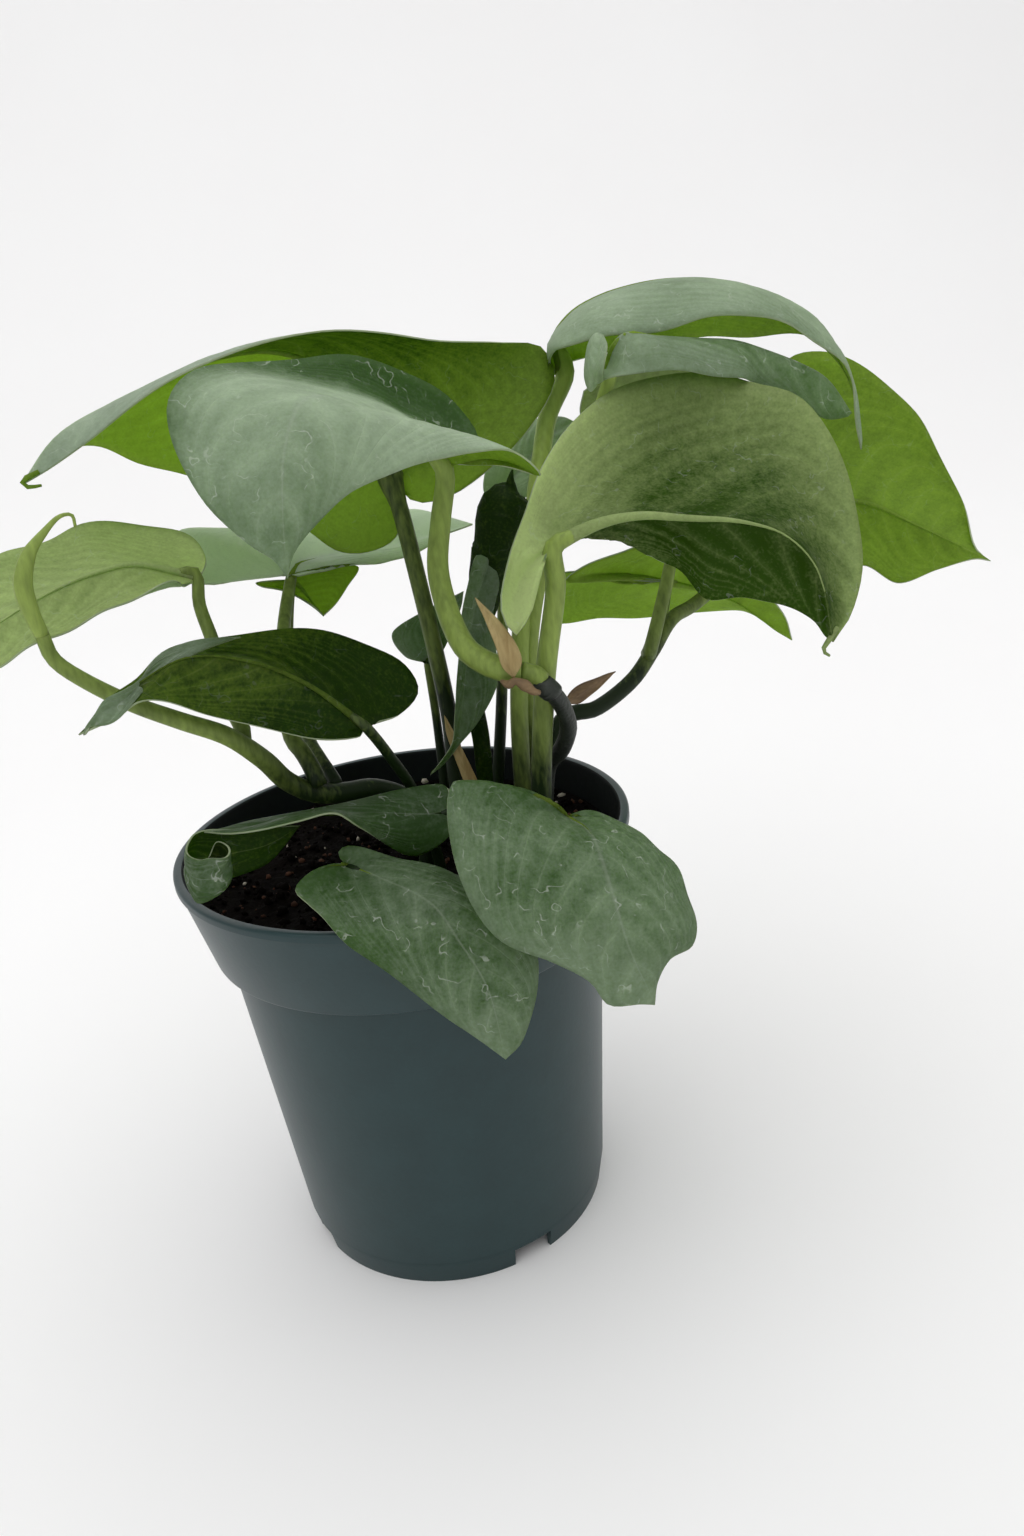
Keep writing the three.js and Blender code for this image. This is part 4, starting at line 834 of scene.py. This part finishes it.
LEFT_VINE = [[4, -12, 120], [8, -10, 155], [1, -10, 163], [-8, -15, 169], [-16, -20, 171], [-25, -25, 174],
    [-33, -29, 181], [-38, -35, 191], [-46, -42, 202], [-57, -47, 210], [-68, -51, 218], [-78, -54, 227],
    [-84, -55, 234], [-85, -56, 241]]
ROLLED_SHOOT = [[-85, -56, 241], [-86, -57, 248], [-86, -57, 255], [-83, -56, 262], [-78, -55, 267],
    [-74, -54, 270], [-71, -53, 270], [-71, -52, 267]]
MAIN_STEM = [[46, -4, 120], [49, -8, 152], [51, -12, 166], [55, -18, 173], [57, -24, 182], [55, -29, 191],
    [51, -33, 198], [49, -33, 200], [47, -32, 201]]
STEM_RING = [[52, -33, 196], [51, -33, 198], [50, -33, 199], [49, -32, 200], [49, -32, 202]]
GREEN_NODE = [[49, -32, 201], [47, -32, 203], [45, -31, 204], [43, -31, 205]]
DRY_COLLAR = [[36, -35, 204], [38, -37, 203], [40, -38, 204], [43, -38, 202], [45, -38, 200],
    [47, -37, 199]]
UNFURLING_ROLL = [[30, 14, 120], [31, 14, 147], [32, 14, 170], [31, 14, 185], [33, 13, 199], [35, 13, 210],
    [39, 12, 220], [41, 12, 228], [44, 11, 235], [47, 11, 242], [49, 11, 248], [50, 10, 252], [51, 10, 255],
    [52, 10, 256], [52, 9, 258], [53, 9, 261]]
UNFURLING_RADII = [3.0, 3.0, 3.0, 3.0, 3.0, 3.0, 3.0, 3.0, 3.0, 3.1, 3.1, 3.1, 3.2, 3.3, 3.4, 3.6, 3.8, 4.1,
    4.4, 4.7, 5.1, 5.4, 5.8, 6.3, 7.3, 8.1, 8.9, 8.8, 7.4, 1.6, 0.3]
UNFURLING_FLAP = {
    "lobe": 0, "arch": [0.1, 0.1], "wave": [0.6, 3], "quilt": 0.0,
    "midrib": [[42, 5, 234], [36, 5, 222], [31, 6, 206], [27, 7, 188], [22, 6, 172], [12, 5, 163]],
    "left": [[44, 6, 226], [41, 8, 214], [40, 7, 196], [38, 7, 188], [30, 6, 178], [22, 5, 171],
        [17, 5, 166]],
    "right": [[37, 3, 236], [33, 4, 226], [29, 5, 213], [26, 6, 196], [23, 6, 182], [21, 5, 173],
        [15, 5, 166]],
}
DRY_SCALES = {
    "tan": {
        "lobe": 0, "arch": [-0.15, -0.15], "wave": [0.2, 2], "quilt": 0.0,
        "midrib": [[40, -35, 204], [38, -36, 212], [36, -34, 220], [34, -30, 226], [32, -28, 229]],
        "left": [[37, -35, 208], [36, -36, 214], [34, -32, 222]],
        "right": [[43, -35, 209], [41, -36, 216], [37, -32, 223]],
    },
    "brown": {
        "lobe": 0, "arch": [0.15, 0.15], "wave": [0.2, 2], "quilt": 0.0,
        "midrib": [[84, 22, 185], [73, 18, 182], [68, 17, 180], [63, 16, 178]],
        "left": [[80, 20, 185], [71, 17, 184], [66, 16, 182]],
        "right": [[80, 21, 182], [75, 20, 179], [69, 19, 176]],
    },
    "straw": {
        "lobe": 0, "arch": [0.1, 0.1], "wave": [0.2, 2], "quilt": 0.0,
        "midrib": [[29, 4, 139], [27, 6, 150], [24, 8, 165], [20, 11, 182]],
        "left": [[27, 4, 143], [24, 6, 155], [20, 9, 174]],
        "right": [[32, 5, 143], [29, 7, 155], [23, 9, 174]],
    },
}


def make_stems():
    bm = bmesh.new()
    sweep(bm, LEFT_VINE, [3.3, 3.3, 3.3, 3, 2.4, 1.9], tint=0.6)
    sweep(bm, ROLLED_SHOOT, [1.9, 2.1, 2.4, 2.4, 2, 1.3, 0.8, 0.5, 0.4], step=1, tint=0.8)
    place_piece("left_vine_and_shoot", bm, [stalk_skin], ["left_vine"])
    bm = bmesh.new()
    sweep(bm, MAIN_STEM, [3.0, 3.0, 3.0, 2.9, 2.8, 2.8])
    sweep(bm, STEM_RING, [2.8, 3.6, 3.5, 3.6, 3.4, 3.7, 3.0], step=0.5)
    sweep(bm, GREEN_NODE, [3.0, 3.3, 3.3, 3.0, 2.9], material=1, tint=0.7)
    sweep(bm, DRY_COLLAR, [0.5, 1.4, 1.1, 1.9, 1.3, 0.8], step=0.6, material=2)
    place_piece("old_main_stem", bm, [cork, stalk_skin, brown_paper], ["main_stem"])
    bm = bmesh.new()
    sweep(bm, UNFURLING_ROLL, UNFURLING_RADII, sides=48, step=1.2, material=1, tint=-0.1,
          swell=lambda share, angle: 1 + 0.09 * ((angle / (2 * math.pi) + 7 * share) % 1 - 0.5))
    blade(bm, UNFURLING_FLAP, tints=(0.2, 0.3))
    place_piece("unfurling", bm, [silver_skin, green_skin, margin_skin], ["leaf_unfurling"])
    for name, scale in DRY_SCALES.items():
        bm = bmesh.new()
        blade(bm, scale, columns=6, rows=24, materials=(0, 0, 0))
        skin = brown_paper if name == "brown" else straw
        place_piece("dry_scale_of_" + name, bm, [skin], ["dry_scale_" + name])


make_pot()
make_soil()
make_crumbs("perlite", 70, (0.5, 1.7), grit, 4)
make_crumbs("bark_crumbs", 260, (0.4, 1.5), bark, 7)
make_crumbs("peat_crumbs", 900, (0.5, 2.2), peat, 11)
make_stems()
for leaf_name, leaf in LEAVES.items():
    leaf_piece(leaf_name, leaf)


# Floor, light and camera

def make_floor():
    """A white sheet that lies flat under the pot and rises behind it in a wide curve."""
    material, tree = new_material("seamless paper, matte white")
    colour = add(tree, "Mix", out=MIXED, data_type="RGBA",
                 sockets={SHARE: lumps(tree, 400), FIRST: linear("#f4f3f3"), SECOND: linear("#f7f7f7")})
    paper = add(tree, "BsdfPrincipled",
                sockets={"Base Color": colour, "Roughness": 0.9, "Specular IOR Level": 0.1})
    add(tree, "OutputMaterial", paper)
    bm = bmesh.new()
    grid = bmesh.ops.create_grid(bm, x_segments=2, y_segments=60, size=0.5)["verts"]
    width, length, in_front, flat, bend = 9, 8, 3, 1.0, 1.2
    for vertex in grid:
        run = length * (vertex.co.y + 0.5) - in_front
        turn = min(max(run - flat, 0) / bend, math.pi / 2)
        rise = max(run - flat - bend * math.pi / 2, 0)
        vertex.co = (width * vertex.co.x, min(run, flat) + bend * math.sin(turn),
                     bend * (1 - math.cos(turn)) + rise)
    mesh = bpy.data.meshes.new("seamless_paper")
    bm.to_mesh(mesh)
    bm.free()
    mesh.shade_smooth()
    mesh.materials.append(material)
    floor = bpy.data.objects.new("seamless_paper", mesh)
    scene.collection.objects.link(floor)


def softbox(name, place, aim, size, power):
    light = bpy.data.lights.new(name, "AREA")
    light.shape = "RECTANGLE"
    light.size, light.size_y = size
    light.energy = power
    lamp = bpy.data.objects.new(name, light)
    scene.collection.objects.link(lamp)
    lamp.location = place
    lamp.rotation_euler = (Vector(aim) - Vector(place)).to_track_quat("-Z", "Y").to_euler()


make_floor()
softbox("overhead", (-0.1, -0.1, 2.8), (0, 0, 0.1), (5.8, 5.8), 104)
softbox("paper_light", (0.5, 1.0, 2.6), (0.7, 2.4, 0.6), (3.0, 0.6), 1)
softbox("front_fill", (-1.2, -1.6, 1.0), (0, 0, 0.2), (1.4, 1.4), 3)
world = bpy.data.worlds.new("studio")
scene.world = world
world.use_nodes = True
world.node_tree.nodes["Background"].inputs["Color"].default_value = linear("#ffffff")
world.node_tree.nodes["Background"].inputs["Strength"].default_value = 0.45
scene.view_settings.view_transform = "Standard"

# The camera stands close and looks down, a little turned and tilted, as the photographer held it.
camera = bpy.data.cameras.new("camera")
camera.sensor_fit = "VERTICAL"
camera.sensor_height = 36
camera.lens = 26
camera.clip_start = 0.01
eye = bpy.data.objects.new("camera", camera)
scene.collection.objects.link(eye)
eye_from_axis = Vector((0, -357.4, 294.8))
elevation, turn, pitch, roll = (math.radians(d) for d in (22.2, 6.0, 1.9, -9.4))
looking = Matrix.Rotation(math.pi / 2 - elevation, 3, "X") @ Matrix.Rotation(-turn, 3, "Y")
looking = looking @ Matrix.Rotation(pitch, 3, "X") @ Matrix.Rotation(roll, 3, "Z")
eye.matrix_world = Matrix.Translation(AXIS + eye_from_axis * MM) @ looking.to_4x4()
scene.camera = eye
